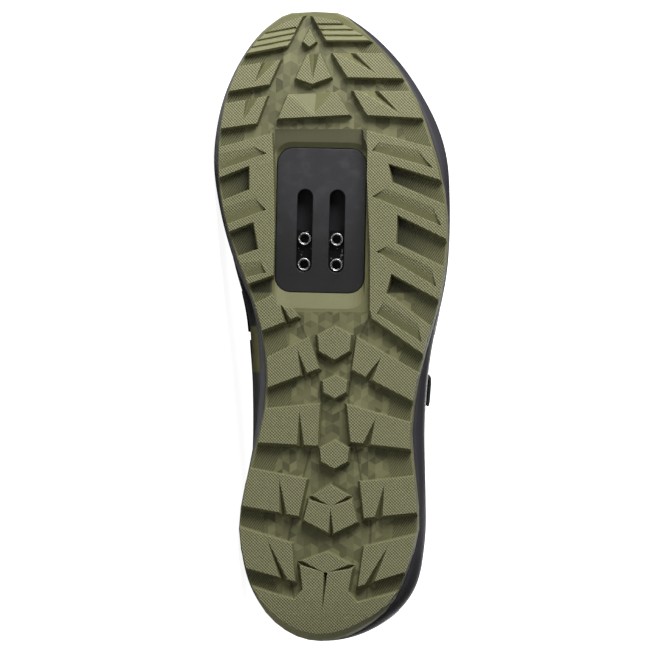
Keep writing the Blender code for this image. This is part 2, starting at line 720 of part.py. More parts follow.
def rail_shape(side, inner_edge, fingers):
    """The outline of a rail with its fingers, its runs on the tread's edge, and the panel of each finger."""
    def on_tread(place):
        return tread_xy(place[0], -side * place[1])

    outline = [on_tread(place) for place in inner_edge]
    runs, panels = [], []
    for front_inside, front, rear, rear_inside, (tip, shoulder) in fingers[::-1]:
        edge = edge_points(side, front, rear)
        behind = on_tread(rear_inside)
        ahead = on_tread(front_inside) if front_inside else outline[0]
        runs.append((len(outline) + 1, len(outline) + len(edge)))
        outline += [behind, *edge[::-1]] + ([ahead] if front_inside else [])
        edge_end = []
        for inward, backward in PANEL_EDGE_END[side]:
            edge_end.append(edge[0].lerp(ahead, inward).lerp(edge[-1].lerp(behind, inward), backward))
        panels.append((edge_end[0], on_tread(shoulder), on_tread(tip), edge_end[1]))
    return outline, runs, panels


def add_panel(built, corners):
    """A shallow dent in a finger of a rail, deeper along its rear side, which runs from the tip to the edge."""
    low, high = [], []
    for p, depth in zip(corners, (PANEL_FRONT_DEPTH, PANEL_FRONT_DEPTH, PANEL_DEPTH, PANEL_DEPTH)):
        low.append(Vector((p.x, p.y, ground_z(p.y) - PANEL_DEPTH)))
        high.append(Vector((p.x, p.y, ground_z(p.y) + depth)))
    add_cutter(built, low, high)


def add_ribs(built, corners):
    """Grooves across a toe lug, side by side with its rear edge."""
    _, front_inside, rear_inside, rear_edge = corners
    run = (rear_inside - rear_edge).normalized()
    forward = Vector((-run.y, run.x))
    if forward.y < 0.0:
        forward = -forward
    for i in range(RIB_COUNT):
        shift = forward * RIB_PITCH * (i + 0.75)
        add_groove(built, rear_edge - run * 2 * RIB_PITCH + shift, rear_inside + run * 2 * RIB_PITCH + shift)


def rounded_rectangle(width, length, radius, corner_steps=5):
    points = []
    for cx, cy, start in ((1, 1, 0), (-1, 1, 90), (-1, -1, 180), (1, -1, 270)):
        for i in range(corner_steps + 1):
            a = math.radians(start + 90.0 * i / corner_steps)
            points.append(Vector((
                cx * (width / 2 - radius) + radius * math.cos(a),
                cy * (length / 2 - radius) + radius * math.sin(a),
            )))
    return points


def plate_xy(point, back=0.0):
    """A point of the cleat plate's own plan, in the shoe's frame. back moves it towards the heel."""
    turned = Matrix.Rotation(PLATE_TURN, 2) @ Vector((point.x, point.y - back))
    return turned + Vector((-PLATE_ACROSS, PLATE_ALONG * SOLE_LENGTH))


def plate_levels():
    """Heights of the plate's face, of its flange's two sides, and of the threaded plate's two sides."""
    y = PLATE_ALONG * SOLE_LENGTH
    face = floor_z(y) + PLATE_RECESS
    flange = max(rubber_top_z(y), rubber_top_z(y + PLATE_LENGTH / 2 + PLATE_FLANGE)) + CLEARANCE
    back = flange + PLATE_FLANGE_THICKNESS
    nut = back + CLEARANCE
    return face, flange, back, nut, nut + NUT_PLATE_THICKNESS


def plate_block(name, levels, back=0.0, width=PLATE_WIDTH, length=PLATE_LENGTH, corner=PLATE_CORNER):
    """A block with the plate's outline, through levels of (height, growth across, growth along)."""
    loops = []
    for z, wider, longer in levels:
        plan = rounded_rectangle(width + 2 * wider, length + 2 * longer, max(corner + wider, 0.0005))
        loops.append([Vector((*plate_xy(p, back), z)) for p in plan])
    count = len(loops[0])
    faces = []
    for level in range(len(loops) - 1):
        for i in range(count):
            j = (i + 1) % count
            faces.append((level * count + i, level * count + j,
                          (level + 1) * count + j, (level + 1) * count + i))
    faces += [tuple(range(count)), tuple(range(count * (len(loops) - 1), count * len(loops)))]
    return mesh_of(name, [p for ring in loops for p in ring], faces, split=True)


def build_outsole():
    """The rubber tread with its side, its bumpers, its lugs, and the opening for the cleat plate."""
    inset_share, height_share = SIDE_BULGE_SHARES
    base = stack_of_loops("outsole", [
        loop(lambda s, r: -edge_inset(r), lambda s, r, y: floor_z(y)),
        loop(lambda s, r: -inset_share * edge_inset(r),
             lambda s, r, y: floor_z(y) + height_share * (RUBBER_THICKNESS + lip_height(r))),
        loop(lambda s, r: 0.0,
             lambda s, r, y: rubber_top_z(y) + lip_height(r) - LIP_ROUNDING),
        loop(lambda s, r: -LIP_ROUNDING / 2, lambda s, r, y: rubber_top_z(y) + lip_height(r)),
        loop(lambda s, r: -lip_wall(r), lambda s, r, y: rubber_top_z(y) + lip_height(r)),
        loop(lambda s, r: -lip_wall(r), lambda s, r, y: rubber_top_z(y)),
    ])
    outsole = new_object("outsole", base, "olive_rubber", 25.0)

    lugs, cuts = bmesh.new(), bmesh.new()
    for row in SIDE_LUGS:
        polygon, corners = side_lug_shape(row)
        add_lug(lugs, polygon, [(0, EDGE_POINTS - 1)])
        front_edge, front_inside, rear_inside, rear_edge = corners
        if row[5] == "ribs":
            add_ribs(cuts, corners)
        else:
            end, where, tip_at, length_share, deep_at = row[5]
            front = front_edge.lerp(front_inside, tip_at if end == "rear" else where)
            rear = rear_edge.lerp(rear_inside, where if end == "rear" else tip_at)
            start, far = (rear, front) if end == "rear" else (front, rear)
            width = NOTCH_WIDTH if end == "rear" else TOE_NOTCH_WIDTH
            add_notch(cuts, start, start.lerp(far, length_share), width, deep_at, NOTCH_REACH)
    for rail in RAILS:
        polygon, runs, panels = rail_shape(*rail)
        add_lug(lugs, polygon, runs)
        for corners in panels:
            add_panel(cuts, corners)
    for shape, along, across, length, width, notches in MIDDLE_LUGS:
        def place(share):
            return tread_xy(along + share[0] * length, across + share[1] * width)
        add_lug(lugs, [place(share) for share in shape])
        for start, tip, notch_width, deep_at, reach in notches:
            add_notch(cuts, place(start), place(tip), notch_width, deep_at, reach)
    edge = edge_points(OUTER, HEEL_BLOCK_EDGE[1], 0.0, HEEL_EDGE_POINTS)
    edge += edge_points(INNER, 0.0, HEEL_BLOCK_EDGE[0], HEEL_EDGE_POINTS)[1:]
    add_lug(lugs, edge + [tread_xy(*place) for place in HEEL_BLOCK[::-1]], [(0, len(edge) - 1)])
    for start, tip, slit_width, reach in HEEL_NOTCHES:
        add_notch(cuts, tread_xy(*start), tread_xy(*tip), slit_width, 0.5, reach)
    boolean(outsole, helper("lug_blocks", finished("lug_blocks", lugs)), "UNION", overlapping=True)
    boolean(outsole, helper("tread_cuts", finished("tread_cuts", cuts)), "DIFFERENCE", overlapping=True)

    face = plate_levels()[0]
    edge = floor_z(PLATE_ALONG * SOLE_LENGTH)
    opening = plate_block("plate_opening", (
        (edge - 2 * LUG_HEIGHT, FRAME_SIDE, FRAME_SLOPE),
        (edge, FRAME_SIDE, FRAME_SLOPE),
        (face, CLEARANCE, CLEARANCE),
        (face + RUBBER_THICKNESS * 3, CLEARANCE, CLEARANCE),
    ))
    boolean(outsole, helper("plate_opening", opening), "DIFFERENCE")
    return outsole


def build_cleat_plate():
    """The hard plate that a cleat is bolted against, with its flange held behind the rubber."""
    face, flange, back, _, _ = plate_levels()
    body = plate_block("cleat_plate", (
        (face, 0.0, 0.0),
        (flange, 0.0, 0.0),
        (flange, PLATE_FLANGE, PLATE_FLANGE),
        (back, PLATE_FLANGE, PLATE_FLANGE),
    ))
    plate = new_object("cleat_plate", body, "black_nylon")
    slots = bmesh.new()
    for side in (-1, 1):
        loops = []
        for z in (face - PLATE_RECESS, back + PLATE_RECESS):
            plan = rounded_rectangle(SLOT_WIDTH, SLOT_LENGTH, SLOT_WIDTH / 2 * SLOT_END_ROUNDNESS, 6)
            moved = [plate_xy(p + Vector((side * SLOT_SPACING / 2, 0.0)), SLOT_SETBACK) for p in plan]
            loops.append([Vector((*p, z)) for p in moved])
        add_cutter(slots, *loops)
    boolean(plate, helper("slots", finished("slots", slots)), "DIFFERENCE")
    return plate


def add_cylinder(built, xy, low, high, radius, sides, start=0.0):
    angles = [start + 2 * math.pi * i / sides for i in range(sides)]
    ring = [xy + Vector((math.cos(a), math.sin(a))) * radius for a in angles]
    add_cutter(built, [Vector((*p, low)) for p in ring], [Vector((*p, high)) for p in ring])


def build_nut_plate():
    """The steel plate behind the slots, with four threaded collars that stand into them."""
    _, _, _, low, high = plate_levels()
    body = plate_block("nut_plate", ((low, 0.0, 0.0), (high, 0.0, 0.0)), NUT_PLATE_SETBACK,
                       NUT_PLATE_WIDTH, NUT_PLATE_LENGTH, NUT_PLATE_CORNER)
    plate = new_object("nut_plate", body, "steel")
    collars, bores = bmesh.new(), bmesh.new()
    for across in (-1, 1):
        for forward in (-1, 1):
            xy = plate_xy(Vector((across * SLOT_SPACING / 2, forward * NUT_PITCH / 2)), NUT_PLATE_SETBACK)
            add_cylinder(collars, xy, low - NUT_COLLAR_HEIGHT, (low + high) / 2, NUT_COLLAR_RADIUS, COLLAR_SIDES)
            add_cylinder(bores, xy, low - 2 * NUT_COLLAR_HEIGHT, high + NUT_COLLAR_HEIGHT,
                         NUT_HOLE_RADIUS, BORE_SIDES, BORE_TURN)
    boolean(plate, helper("collars", finished("collars", collars)), "UNION")
    boolean(plate, helper("bores", finished("bores", bores)), "DIFFERENCE")
    return plate


def midsole_bottom_z(side, ring, y):
    return rubber_top_z(y) + CLEARANCE


def build_midsole():
    """The foam between tread and upper, seated inside the outsole's lip and standing out past it."""
    def lip_top(side, ring, y):
        return rubber_top_z(y) + lip_height(ring) + CLEARANCE

    def seat(side, ring):
        return -lip_wall(ring) - CLEARANCE

    loops = [loop(seat, midsole_bottom_z), loop(seat, lip_top)]
    for height_share, flare_share, inset in MIDSOLE_PROFILE:
        def grow(side, ring):
            return flare_share * flare(side, ring) - inset

        def height(side, ring, y):
            low = lip_top(side, ring, y)
            return low + (midsole_top_z(y) - low) * height_share

        loops.append(loop(grow, height))
    mesh = stack_of_loops("midsole", loops)
    midsole = new_object("midsole", mesh, "charcoal_foam")
    face, _, back, _, nut_top = plate_levels()
    pocket = plate_block("plate_pocket", (
        (face - LUG_HEIGHT, PLATE_FLANGE + CLEARANCE, PLATE_FLANGE + CLEARANCE),
        (back + CLEARANCE, PLATE_FLANGE + CLEARANCE, PLATE_FLANGE + CLEARANCE),
    ))
    boolean(midsole, helper("plate_pocket", pocket), "DIFFERENCE")
    cavity = plate_block("nut_pocket", (
        (back, 0.0, 0.0),
        (nut_top + CLEARANCE, 0.0, 0.0),
    ), SLOT_SETBACK, NUT_PLATE_WIDTH + 4 * CLEARANCE, NUT_POCKET_LENGTH, NUT_POCKET_CORNER)
    boolean(midsole, helper("nut_pocket", cavity), "DIFFERENCE")
    return midsole


def build_insole():
    """The footbed, inside the upper's lower edge."""
    def edge(side, ring):
        return flare(side, ring) - FEATHER_INSET - UPPER_WALL - 4 * CLEARANCE

    def low(side, ring, y):
        return midsole_top_z(y) + CLEARANCE

    return new_object("insole", stack_of_loops("insole", [
        loop(edge, low),
        loop(edge, lambda s, r, y: low(s, r, y) + INSOLE_THICKNESS * (1.0 - INSOLE_ROUNDING_SHARE)),
        loop(lambda s, r: edge(s, r) - INSOLE_THICKNESS * INSOLE_ROUNDING_SHARE,
             lambda s, r, y: low(s, r, y) + INSOLE_THICKNESS),
    ]), "footbed_cloth")


def feather_point(side, ring):
    """Where the upper meets the midsole."""
    flat = outline_xy(side, ring, flare(side, ring) - FEATHER_INSET)
    return Vector((flat.x, flat.y, midsole_top_z(flat.y) + CLEARANCE))


def opening_point(side, ring):
    across = column(OPENING, 2 if side == INNER else 3, ring) * BALL_WIDTH
    up = column(OPENING, 4 if side == INNER else 5, ring) * COLLAR_HEIGHT
    return Vector((side * across, column(OPENING, 1, ring) * SOLE_LENGTH, up))


def last_point(side, ring, height):
    """A point on the outside of the upper: height 0 at the sole, 1 at the edge of the opening."""
    foot, top = feather_point(side, ring), opening_point(side, ring)
    columns = (1, 2, 3, 4 if side == INNER else 5)
    rise, drop, spread, swell = (column(WALL_SHAPE, i, ring) * COLLAR_HEIGHT for i in columns)
    flat = outline_xy(side, ring, 0.0)
    out = (outline_xy(side, ring, BALL_WIDTH) - flat).normalized()
    away = (Vector((foot.x - top.x, foot.y - top.y)) + out * WALL_LEAN * BALL_WIDTH).normalized()
    second = foot + Vector((out.x * swell, out.y * swell, rise))
    third = top + Vector((away.x * spread, away.y * spread, -drop))
    t, u = height, 1.0 - height
    return foot * u**3 + second * 3 * u * u * t + third * 3 * u * t * t + top * t**3


def last_normal(side, ring, height):
    """Outward direction of the upper there."""
    step = 0.01
    along_ring = last_point(side, min(1.0, ring + step), height) - last_point(side, max(0.0, ring - step), height)
    if ring < step or ring > 1.0 - step:
        here = min(max(ring, step), 1.0 - step)
        along_ring = last_point(INNER, here, height) - last_point(OUTER, here, height)
        along_ring *= side if ring < step else -side
    up = last_point(side, ring, min(1.0, height + step)) - last_point(side, ring, max(0.0, height - step))
    return (side * up.cross(along_ring)).normalized()


def wall_thickness(ring, height):
    """The upper's wall, which is padded round the collar."""
    ring_start, ring_end = PADDING_RING
    low, high = PADDING_HEIGHT
    padded = ease((ring - ring_start) / (ring_end - ring_start)) * ease((height - low) / (high - low))
    return UPPER_WALL + COLLAR_PADDING * padded


def on_upper(side, ring, height, offset):
    return last_point(side, ring, height) + last_normal(side, ring, height) * offset


def closed_sheet(name, outside, inside, wrap=False):
    """A solid between two grids of points with equal rows. wrap joins the last row to the first."""
    rows, columns = len(outside), len(outside[0])
    points = [p for row in outside for p in row] + [p for row in inside for p in row]
    shift = rows * columns
    faces = []
    for i in range(rows if wrap else rows - 1):
        k = (i + 1) % rows
        for j in range(columns - 1):
            a, b = i * columns + j, k * columns + j
            faces.append((a, a + 1, b + 1, b))
            faces.append((shift + a, shift + b, shift + b + 1, shift + a + 1))
        for j in (0, columns - 1):
            a, b = i * columns + j, k * columns + j
            faces.append((a, b, shift + b, shift + a))
    if not wrap:
        for i in (0, rows - 1):
            for j in range(columns - 1):
                a = i * columns + j
                faces.append((a, a + 1, shift + a + 1, shift + a))
    return mesh_of(name, points, faces)


def build_upper():
    """One hollow shell from the sole up to the throat and the collar."""
    heights = [i / PROFILE_STEPS for i in range(PROFILE_STEPS + 1)]
    outside, inside = [], []
    for side, ring in ring_of(RING_STEPS):
        outside.append([last_point(side, ring, h) for h in heights])
        inside.append([on_upper(side, ring, h, -wall_thickness(ring, h)) for h in heights])
    for row in inside:
        row[0].z = max(row[0].z, midsole_top_z(row[0].y) + CLEARANCE)
    return new_object("upper", closed_sheet("upper", outside, inside, wrap=True), "black_synthetic")


def build_guard(name, toe, inner_end, outer_end, low, high):
    """A guard over the toe or the heel, lowest and thinnest at its two ends."""
    steps, levels = GUARD_STEPS
    rings = [(INNER, inner_end * (1 - i / steps)) for i in range(steps)]
    rings += [(OUTER, outer_end * i / steps) for i in range(steps + 1)]
    outside, inside = [], []
    for i, (side, ring) in enumerate(rings):
        place = ring if toe else 1.0 - ring
        middle = ease(1.0 - abs(i - steps) / steps)
        top = low + (high - low) * (GUARD_END_HEIGHT + (1.0 - GUARD_END_HEIGHT) * middle)
        thick = GUARD_END_THICKNESS + (GUARD_THICKNESS - GUARD_END_THICKNESS) * middle
        heights = [low + (top - low) * j / levels for j in range(levels + 1)]
        outside.append([on_upper(side, place, h, CLEARANCE + thick) for h in heights])
        inside.append([on_upper(side, place, h, CLEARANCE) for h in heights])
    return new_object(name, closed_sheet(name, outside, inside), "guard_film")


def ring_at(side, y, height):
    """The share round the upper where it reaches a station, at a height."""
    low, high = 0.0, 1.0
    for _ in range(26):
        middle = (low + high) / 2
        if last_point(side, middle, height).y > y:
            low = middle
        else:
            high = middle
    return (low + high) / 2


def across_throat(y, offset, inner_height, outer_height, steps, gap_steps, lean=0.0):
    """Points from the inner side of the upper over the throat to the outer side, at one station.

    offset gives the distance out from the upper's outside, at a ring share and a height.
    """
    def side_run(side, end):
        run = []
        for i in range(steps + 1):
            height = end + (1.0 - end) * i / steps
            place = y + (lean * (1.0 - height) if side == OUTER else 0.0)
            ring = ring_at(side, place, height)
            run.append(on_upper(side, ring, height, offset(ring, height)))
        return run

    inner, outer = side_run(INNER, inner_height), side_run(OUTER, outer_height)
    chord = (outer[-1] - inner[-1]).length
    start = (inner[-1] - inner[-2]).normalized() * chord * STRAP_ARCH
    end = (outer[-2] - outer[-1]).normalized() * chord * STRAP_ARCH
    middle = []
    for i in range(1, gap_steps):
        t = i / gap_steps
        middle.append(
            inner[-1] * (2 * t**3 - 3 * t**2 + 1) + start * (t**3 - 2 * t**2 + t)
            + outer[-1] * (3 * t**2 - 2 * t**3) + end * (t**3 - t**2)
        )
    return inner + middle + outer[::-1]


def build_strap(name, along, width, inner_end, outer_end, lean):
    """A band over the throat that lies on the upper at both ends."""
    y = along * SOLE_LENGTH
    seat = CLEARANCE + STRAP_SEAT
    rows_out, rows_in = [], []
    for share in STRAP_WIDTH_SHARES:
        place = y + share * width
        rows_in.append(across_throat(place, lambda r, h: seat, inner_end, outer_end, *STRAP_STEPS, lean))
        rows_out.append(across_throat(
            place, lambda r, h: seat + STRAP_THICKNESS, inner_end, outer_end, *STRAP_STEPS, lean))
    return new_object(name, closed_sheet(name, rows_out, rows_in), "webbing")


def build_strap_tab():
    """The moulded pull tab on the free end of the instep strap."""
    _, along, _, _, outer_end, lean = STRAPS[2]
    lift = CLEARANCE + STRAP_SEAT
    rows_out, rows_in = [], []
    for width_share, edge_thickness in STRAP_TAB_WIDTH_SHARES:
        row_out, row_in = [], []
        for length_share, end_thickness in STRAP_TAB_LENGTH_SHARES:
            below_strap = STRAP_TAB_SETBACK + STRAP_TAB_LENGTH * length_share
            height = outer_end - below_strap / COLLAR_HEIGHT
            place = along * SOLE_LENGTH + width_share * STRAP_TAB_WIDTH + lean * (1.0 - height)
            ring = ring_at(OUTER, place, height)
            thick = STRAP_TAB_THICKNESS * edge_thickness * end_thickness
            row_in.append(on_upper(OUTER, ring, height, lift))
            row_out.append(on_upper(OUTER, ring, height, lift + thick))
        rows_out.append(row_out)
        rows_in.append(row_in)
    return new_object("strap_tab", closed_sheet("strap_tab", rows_out, rows_in), "tab_rubber")


def build_tongue():
    """A padded flap under the throat, from under the vamp to above the collar."""
    def under(ring, height):
        return -wall_thickness(ring, height) - TONGUE_GAP

    front, back = OPENING[0][1] * SOLE_LENGTH - TONGUE_FRONT_INSET, TONGUE_BACK * SOLE_LENGTH
    rows_out, rows_in = [], []
    for i in range(TONGUE_STATIONS):
        y = front + (back - front) * i / (TONGUE_STATIONS - 1)
        wing = TONGUE_WING[0] + (TONGUE_WING[1] - TONGUE_WING[0]) * ease(i / TONGUE_WING_BLEND)
        rows_out.append(across_throat(y, under, wing, wing, *TONGUE_STEPS))
        rows_in.append(across_throat(y, lambda r, h: under(r, h) - TONGUE_THICKNESS, wing, wing, *TONGUE_STEPS))
    middle = len(rows_out[0]) // 2
    vamp = (last_point(INNER, 0.0, TONGUE_LEAD_HEIGHT) - last_point(INNER, 0.0, 1.0)).normalized()
    for rows in (rows_out, rows_in):
        lead = [p + vamp * TONGUE_LEAD - Vector((0.0, 0.0, TONGUE_SINK)) for p in rows[0]]
        centre = rows[-1][middle]
        rise = (centre - rows[-3][middle]).normalized() * TONGUE_RISE
        tops = []
        for rise_share, width_share in TONGUE_TOP:
            tops.append([centre + (p - centre) * width_share + rise * rise_share for p in rows[-1]])
        rows.insert(0, lead)
        rows.extend(tops)
    return new_object("tongue", closed_sheet("tongue", rows_out, rows_in), "padded_mesh")


def cloud_and_centre(pieces):
    """All corners of the pieces, and the centre of their volume."""
    graph = bpy.context.evaluated_depsgraph_get()
    corners, total, moment = [], 0.0, np.zeros(3)
    for obj in pieces:
        shape = obj.evaluated_get(graph).to_mesh()
        flat = np.empty(len(shape.vertices) * 3)
        shape.vertices.foreach_get("co", flat)
        here = flat.reshape(-1, 3)
        shape.calc_loop_triangles()
        order = np.empty(len(shape.loop_triangles) * 3, dtype=np.int32)
        shape.loop_triangles.foreach_get("vertices", order)
        a, b, c = here[order.reshape(-1, 3)].transpose(1, 0, 2)
        volume = np.einsum("ij,ij->i", a, np.cross(b, c)) / 6.0
        total += volume.sum()
        moment += ((a + b + c) / 4.0 * volume[:, None]).sum(axis=0)
        corners.append(here)
    return np.concatenate(corners), moment / total


def lay_on_side(pieces):
    """The turn and shift that lay the shoe on its inner side, where its centre can sink no lower."""
    points, centre = cloud_and_centre(pieces)

    def upward(roll, pitch):
        return np.array([-math.cos(roll) * math.cos(pitch), math.sin(pitch), -math.sin(roll) * math.cos(pitch)])

    def height(roll, pitch):
        up = upward(roll, pitch)
        return centre @ up - (points @ up).min()

    roll, pitch, step = math.radians(5.0), 0.0, math.radians(4.0)
    while step > 1e-7:
        nearby = [(roll + i * step, pitch + j * step) for i in (-1, 0, 1) for j in (-1, 0, 1)]
        best = min(nearby, key=lambda angles: height(*angles))
        if height(*best) < height(roll, pitch) - 1e-12:
            roll, pitch = best
        else:
            step *= 0.6
    up = upward(roll, pitch)
    toe = np.array([0.0, 1.0, 0.0])
    x_axis = -(toe - up * (toe @ up))
    x_axis /= np.linalg.norm(x_axis)
    turn = np.array([x_axis, np.cross(up, x_axis), up])
    placed = points @ turn.T
    low, high = placed.min(0), placed.max(0)
    shift = -np.array([(low[0] + high[0]) / 2, (low[1] + high[1]) / 2, low[2]])
    print(f"sole faces up by {math.degrees(roll):.2f} degrees, toe lifted {math.degrees(pitch):.2f} degrees")
    touching = points[placed[:, 2] < low[2] + 0.0002]
    print("centre, mm:", (centre * 1000).round(1), "touching, mm:", (touching * 1000).round(1).tolist())
    return Matrix([[*turn[i], shift[i]] for i in range(3)] + [[0.0, 0.0, 0.0, 1.0]])


def main():
    clear_scene()
    pieces = [
        build_outsole(),
        build_cleat_plate(),
        build_nut_plate(),
        build_midsole(),
        build_insole(),
        build_upper(),
        *[build_guard(*row) for row in GUARDS],
        build_tongue(),
        *[build_strap(*row) for row in STRAPS],
        build_strap_tab(),
    ]
    shoe = bpy.data.objects.new("shoe_on_its_side", None)
    bpy.context.scene.collection.objects.link(shoe)
    bpy.context.view_layer.update()
    placement = lay_on_side(pieces)
    shoe.matrix_world = placement
    for obj in list(bpy.data.objects):
        if obj is not shoe:
            obj.parent = shoe
    bpy.context.view_layer.update()
    print("placement:", [[round(v, 6) for v in row] for row in placement])


main()
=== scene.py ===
import math

import bmesh
import bpy
from mathutils import Matrix, Vector
from mathutils.bvhtree import BVHTree


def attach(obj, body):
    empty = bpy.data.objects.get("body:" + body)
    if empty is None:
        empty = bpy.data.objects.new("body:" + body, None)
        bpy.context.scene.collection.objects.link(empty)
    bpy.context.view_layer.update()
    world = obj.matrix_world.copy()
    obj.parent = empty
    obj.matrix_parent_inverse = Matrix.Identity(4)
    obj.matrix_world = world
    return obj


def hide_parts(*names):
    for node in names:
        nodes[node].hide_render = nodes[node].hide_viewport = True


# Sizes of the shoe in metres, in its own frame: x to the inner side, y from heel to toe, z up from the tread

shoe = {
    "roll": math.radians(2.1164),
    "pitch": math.radians(4.0000),
    "shift": Vector((0.136752, -0.058681, 0.035009)),
    "length": 0.2743,
    "ball": 0.0965,
    "toeSpring": 0.0150,
    "toeSpringStart": 0.70,
    "heelRoll": 0.0022,
    "heelRollStart": 0.085,
    "nearBy": 0.0050,
}

# The opening for the cleat plate with its smooth frame. The frame slopes at its front end

plate = {
    "across": 0.0020,
    "along": 0.1828,
    "halfWidth": 0.0222,
    "halfLength": 0.0398,
    "slopeSide": (0.0206, 0.0196),
    "slopeAlong": (0.2110, 0.2140),
    "shadeAlong": (0.205, 0.160),
    "soft": 0.0004,
}

# Heights are above the ground. Pairs are the ends of a soft change, and the pair for the notches along the
# shoe is where they start and end. The toe's ribs lie between two lines, each with a place on the axis and
# a lean, and on both sides of the V between the toe's lugs

tread = {
    "knurlPitch": 0.00135,
    "knurlMain": 0.62,
    "ribPitch": 0.0016,
    "ribLean": 1.5,
    "ribBand": (0.117, 0.115),
    "blockWidth": 0.0062,
    "diamondShare": 0.65,
    "stepLine": (0.0070, 0.0028),
    "bevel": 0.00042,
    "wearHighlightRadius": 0.00055,
    "wearHighlightTurn": (0.995, 0.90),
    "wearHighlightHeight": (0.0014, 0.0006),
    "face": (0.0010, 0.0004),
    "floorLow": (0.0034, 0.0038),
    "floorHigh": (0.0048, 0.0044),
    "notch": (0.1520, 0.2095),
    "notchSide": (0.0225, 0.0235),
    "notchHeight": (0.0020, 0.0034),
    "notchShade": (0.0500, 0.0300),
    "notchSoft": 0.001,
    "toeRibs": ((0.2582, 0.110), (0.2670, 0.0875)),
    "toeV": 0.0073,
    "toeVHalf": (0.0058, 0.0066),
    "toeRibHeight": (0.0032, 0.0026),
    "toeRibSoft": 0.0004,
    "channelEdge": (-0.002, 0.002),
    "rim": (0.016, 0.004),
    "rimHeight": (0.0004, 0.0016),
    "heelEnd": (0.0220, 0.0120),
    "heelHeight": (0.0004, 0.0012),
}

# Half widths of the tread, and of the deeper channel along its middle, in ball widths by shares of the length

treadEdge = {
    "inner": ((0.0, 0.03), (0.065, 0.304), (0.184, 0.390), (0.327, 0.302), (0.398, 0.267), (0.541, 0.330),
              (0.684, 0.464), (0.802, 0.480), (0.898, 0.414), (0.985, 0.234), (1.0, 0.06)),
    "outer": ((0.0, 0.03), (0.065, 0.308), (0.184, 0.422), (0.327, 0.391), (0.398, 0.412), (0.541, 0.519),
              (0.684, 0.549), (0.802, 0.470), (0.898, 0.343), (0.985, 0.106), (1.0, 0.0)),
}
channel = {
    "inner": ((0.09, 0.15), (0.159, 0.166), (0.198, 0.143), (0.261, 0.099), (0.304, 0.067), (0.380, 0.018),
              (0.430, 0.040), (0.485, 0.090), (0.514, 0.121), (0.56, 0.17)),
    "outer": ((0.09, 0.19), (0.157, 0.202), (0.194, 0.202), (0.257, 0.162), (0.288, 0.148), (0.381, 0.105),
              (0.426, 0.121), (0.481, 0.157), (0.522, 0.206), (0.56, 0.24)),
}

# Threads inside the four collars, and the bright rim of each

threads = {
    "radius": 0.00205,
    "wire": 0.00016,
    "pitch": 0.00055,
    "turns": 4,
    "rimRadius": 0.00245,
    "rimWire": 0.00028,
    "start": 0.0002,
    "faceDepth": 0.0002,
}

# Fields of the upper: the olive patch at the inner arch, the knitted vents and the inner waist's painted
# sheen.
# Fields of the foam: its inner side's painted light, and the height of its pocket's painted shade behind the
# cleat plate

panels = {
    "patchAlong": (0.1175, 0.1365),
    "patchSoft": 0.0010,
    "patchSide": (0.0100, 0.0120),
    "patchTop": (0.0400, 0.0390),
    "ventMiddle": (0.0290, 0.2010),
    "ventHalf": (0.0150, 0.0310),
    "ventPower": 2.4,
    "ventFrom": (0.0280, 0.0300),
    "waistFront": (0.150, 0.120),
    "waistRear": (0.040, 0.070),
    "waistSide": (0.012, 0.026),
    "foamLitSide": (0.015, 0.025),
    "foamPocketShade": (0.0150, 0.0140),
}

# Stitches, and the rays that find where their rows lie

stitch = {
    "length": 0.0021,
    "pitch": 0.0030,
    "radius": 0.00024,
    "lift": 0.00002,
    "archSide": 1.6,
    "archTop": 2.2,
    "inset": 0.0020,
    "step": 0.0004,
    "leastUp": 0.25,
    "rayStart": 0.12,
    "rayLength": 0.20,
    "raySpacing": 0.0006,
    "leastHits": 12,
    "leastReach": 0.012,
}

# Places in the middle of the foot that rays and faces are measured from

foot = {
    "height": 0.045,
    "along": (0.035, 0.230),
    "toeMiddle": (0.0, 0.205, 0.030),
    "toeReach": 0.040,
}

# Flex creases over the ball of the foot: where each crosses the axis, its lean to the outer side,
# its depth and its width

creases = {
    "lines": ((0.712, 0.10, 0.0007, 0.0030), (0.738, 0.16, 0.0009, 0.0034), (0.766, 0.05, 0.0006, 0.0030)),
    "halfReach": 0.034,
    "fullShare": 0.4,
    "fromHeight": 0.034,
    "rise": 0.012,
    "wave": 0.0012,
    "waveTurns": 190.0,
    "waveStart": 40.0,
}

# The camera looks at the tread, a little from the outer side

camera = {
    "distance": 3.20,
    "width": 0.2814,
    "target": Vector((0.0, 0.1375, 0.002)),
    "aside": math.radians(2.6),
}


def ownFrame():
    roll = shoe["roll"]
    pitch = shoe["pitch"]
    up = Vector((-math.cos(roll) * math.cos(pitch), math.sin(pitch), -math.sin(roll) * math.cos(pitch)))
    toe = Vector((0.0, 1.0, 0.0))
    back = -(toe - up * toe.dot(up)).normalized()
    turn = Matrix((back, up.cross(back), up))
    return Matrix.Translation(shoe["shift"]) @ turn.to_4x4()


toWorld = ownFrame()
toShoe = toWorld.inverted()

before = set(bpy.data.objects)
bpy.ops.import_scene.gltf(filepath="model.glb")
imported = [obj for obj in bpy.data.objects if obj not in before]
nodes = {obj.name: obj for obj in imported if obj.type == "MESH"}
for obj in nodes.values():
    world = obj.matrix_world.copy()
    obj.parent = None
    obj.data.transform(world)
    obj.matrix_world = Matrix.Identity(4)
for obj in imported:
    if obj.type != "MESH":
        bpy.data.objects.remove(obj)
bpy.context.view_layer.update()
print("frame loaded:", sorted(nodes))


# Shader helpers

def put(tree, kind, inputs=None, **settings):
    node = tree.nodes.new(kind)
    for key, value in settings.items():
        setattr(node, key, value)
    for key, value in (inputs or {}).items():
        connect(tree, value, node.inputs[key])
    return node


def connect(tree, value, socket):
    if isinstance(value, bpy.types.NodeSocket):
        tree.links.new(value, socket)
    else:
        socket.default_value = value


def calc(tree, operation, *values):
    node = put(tree, "ShaderNodeMath", dict(enumerate(values)), operation=operation)
    return node.outputs[0]


def times(tree, first, *others):
    for other in others:
        first = calc(tree, "MULTIPLY", first, other)
    return first


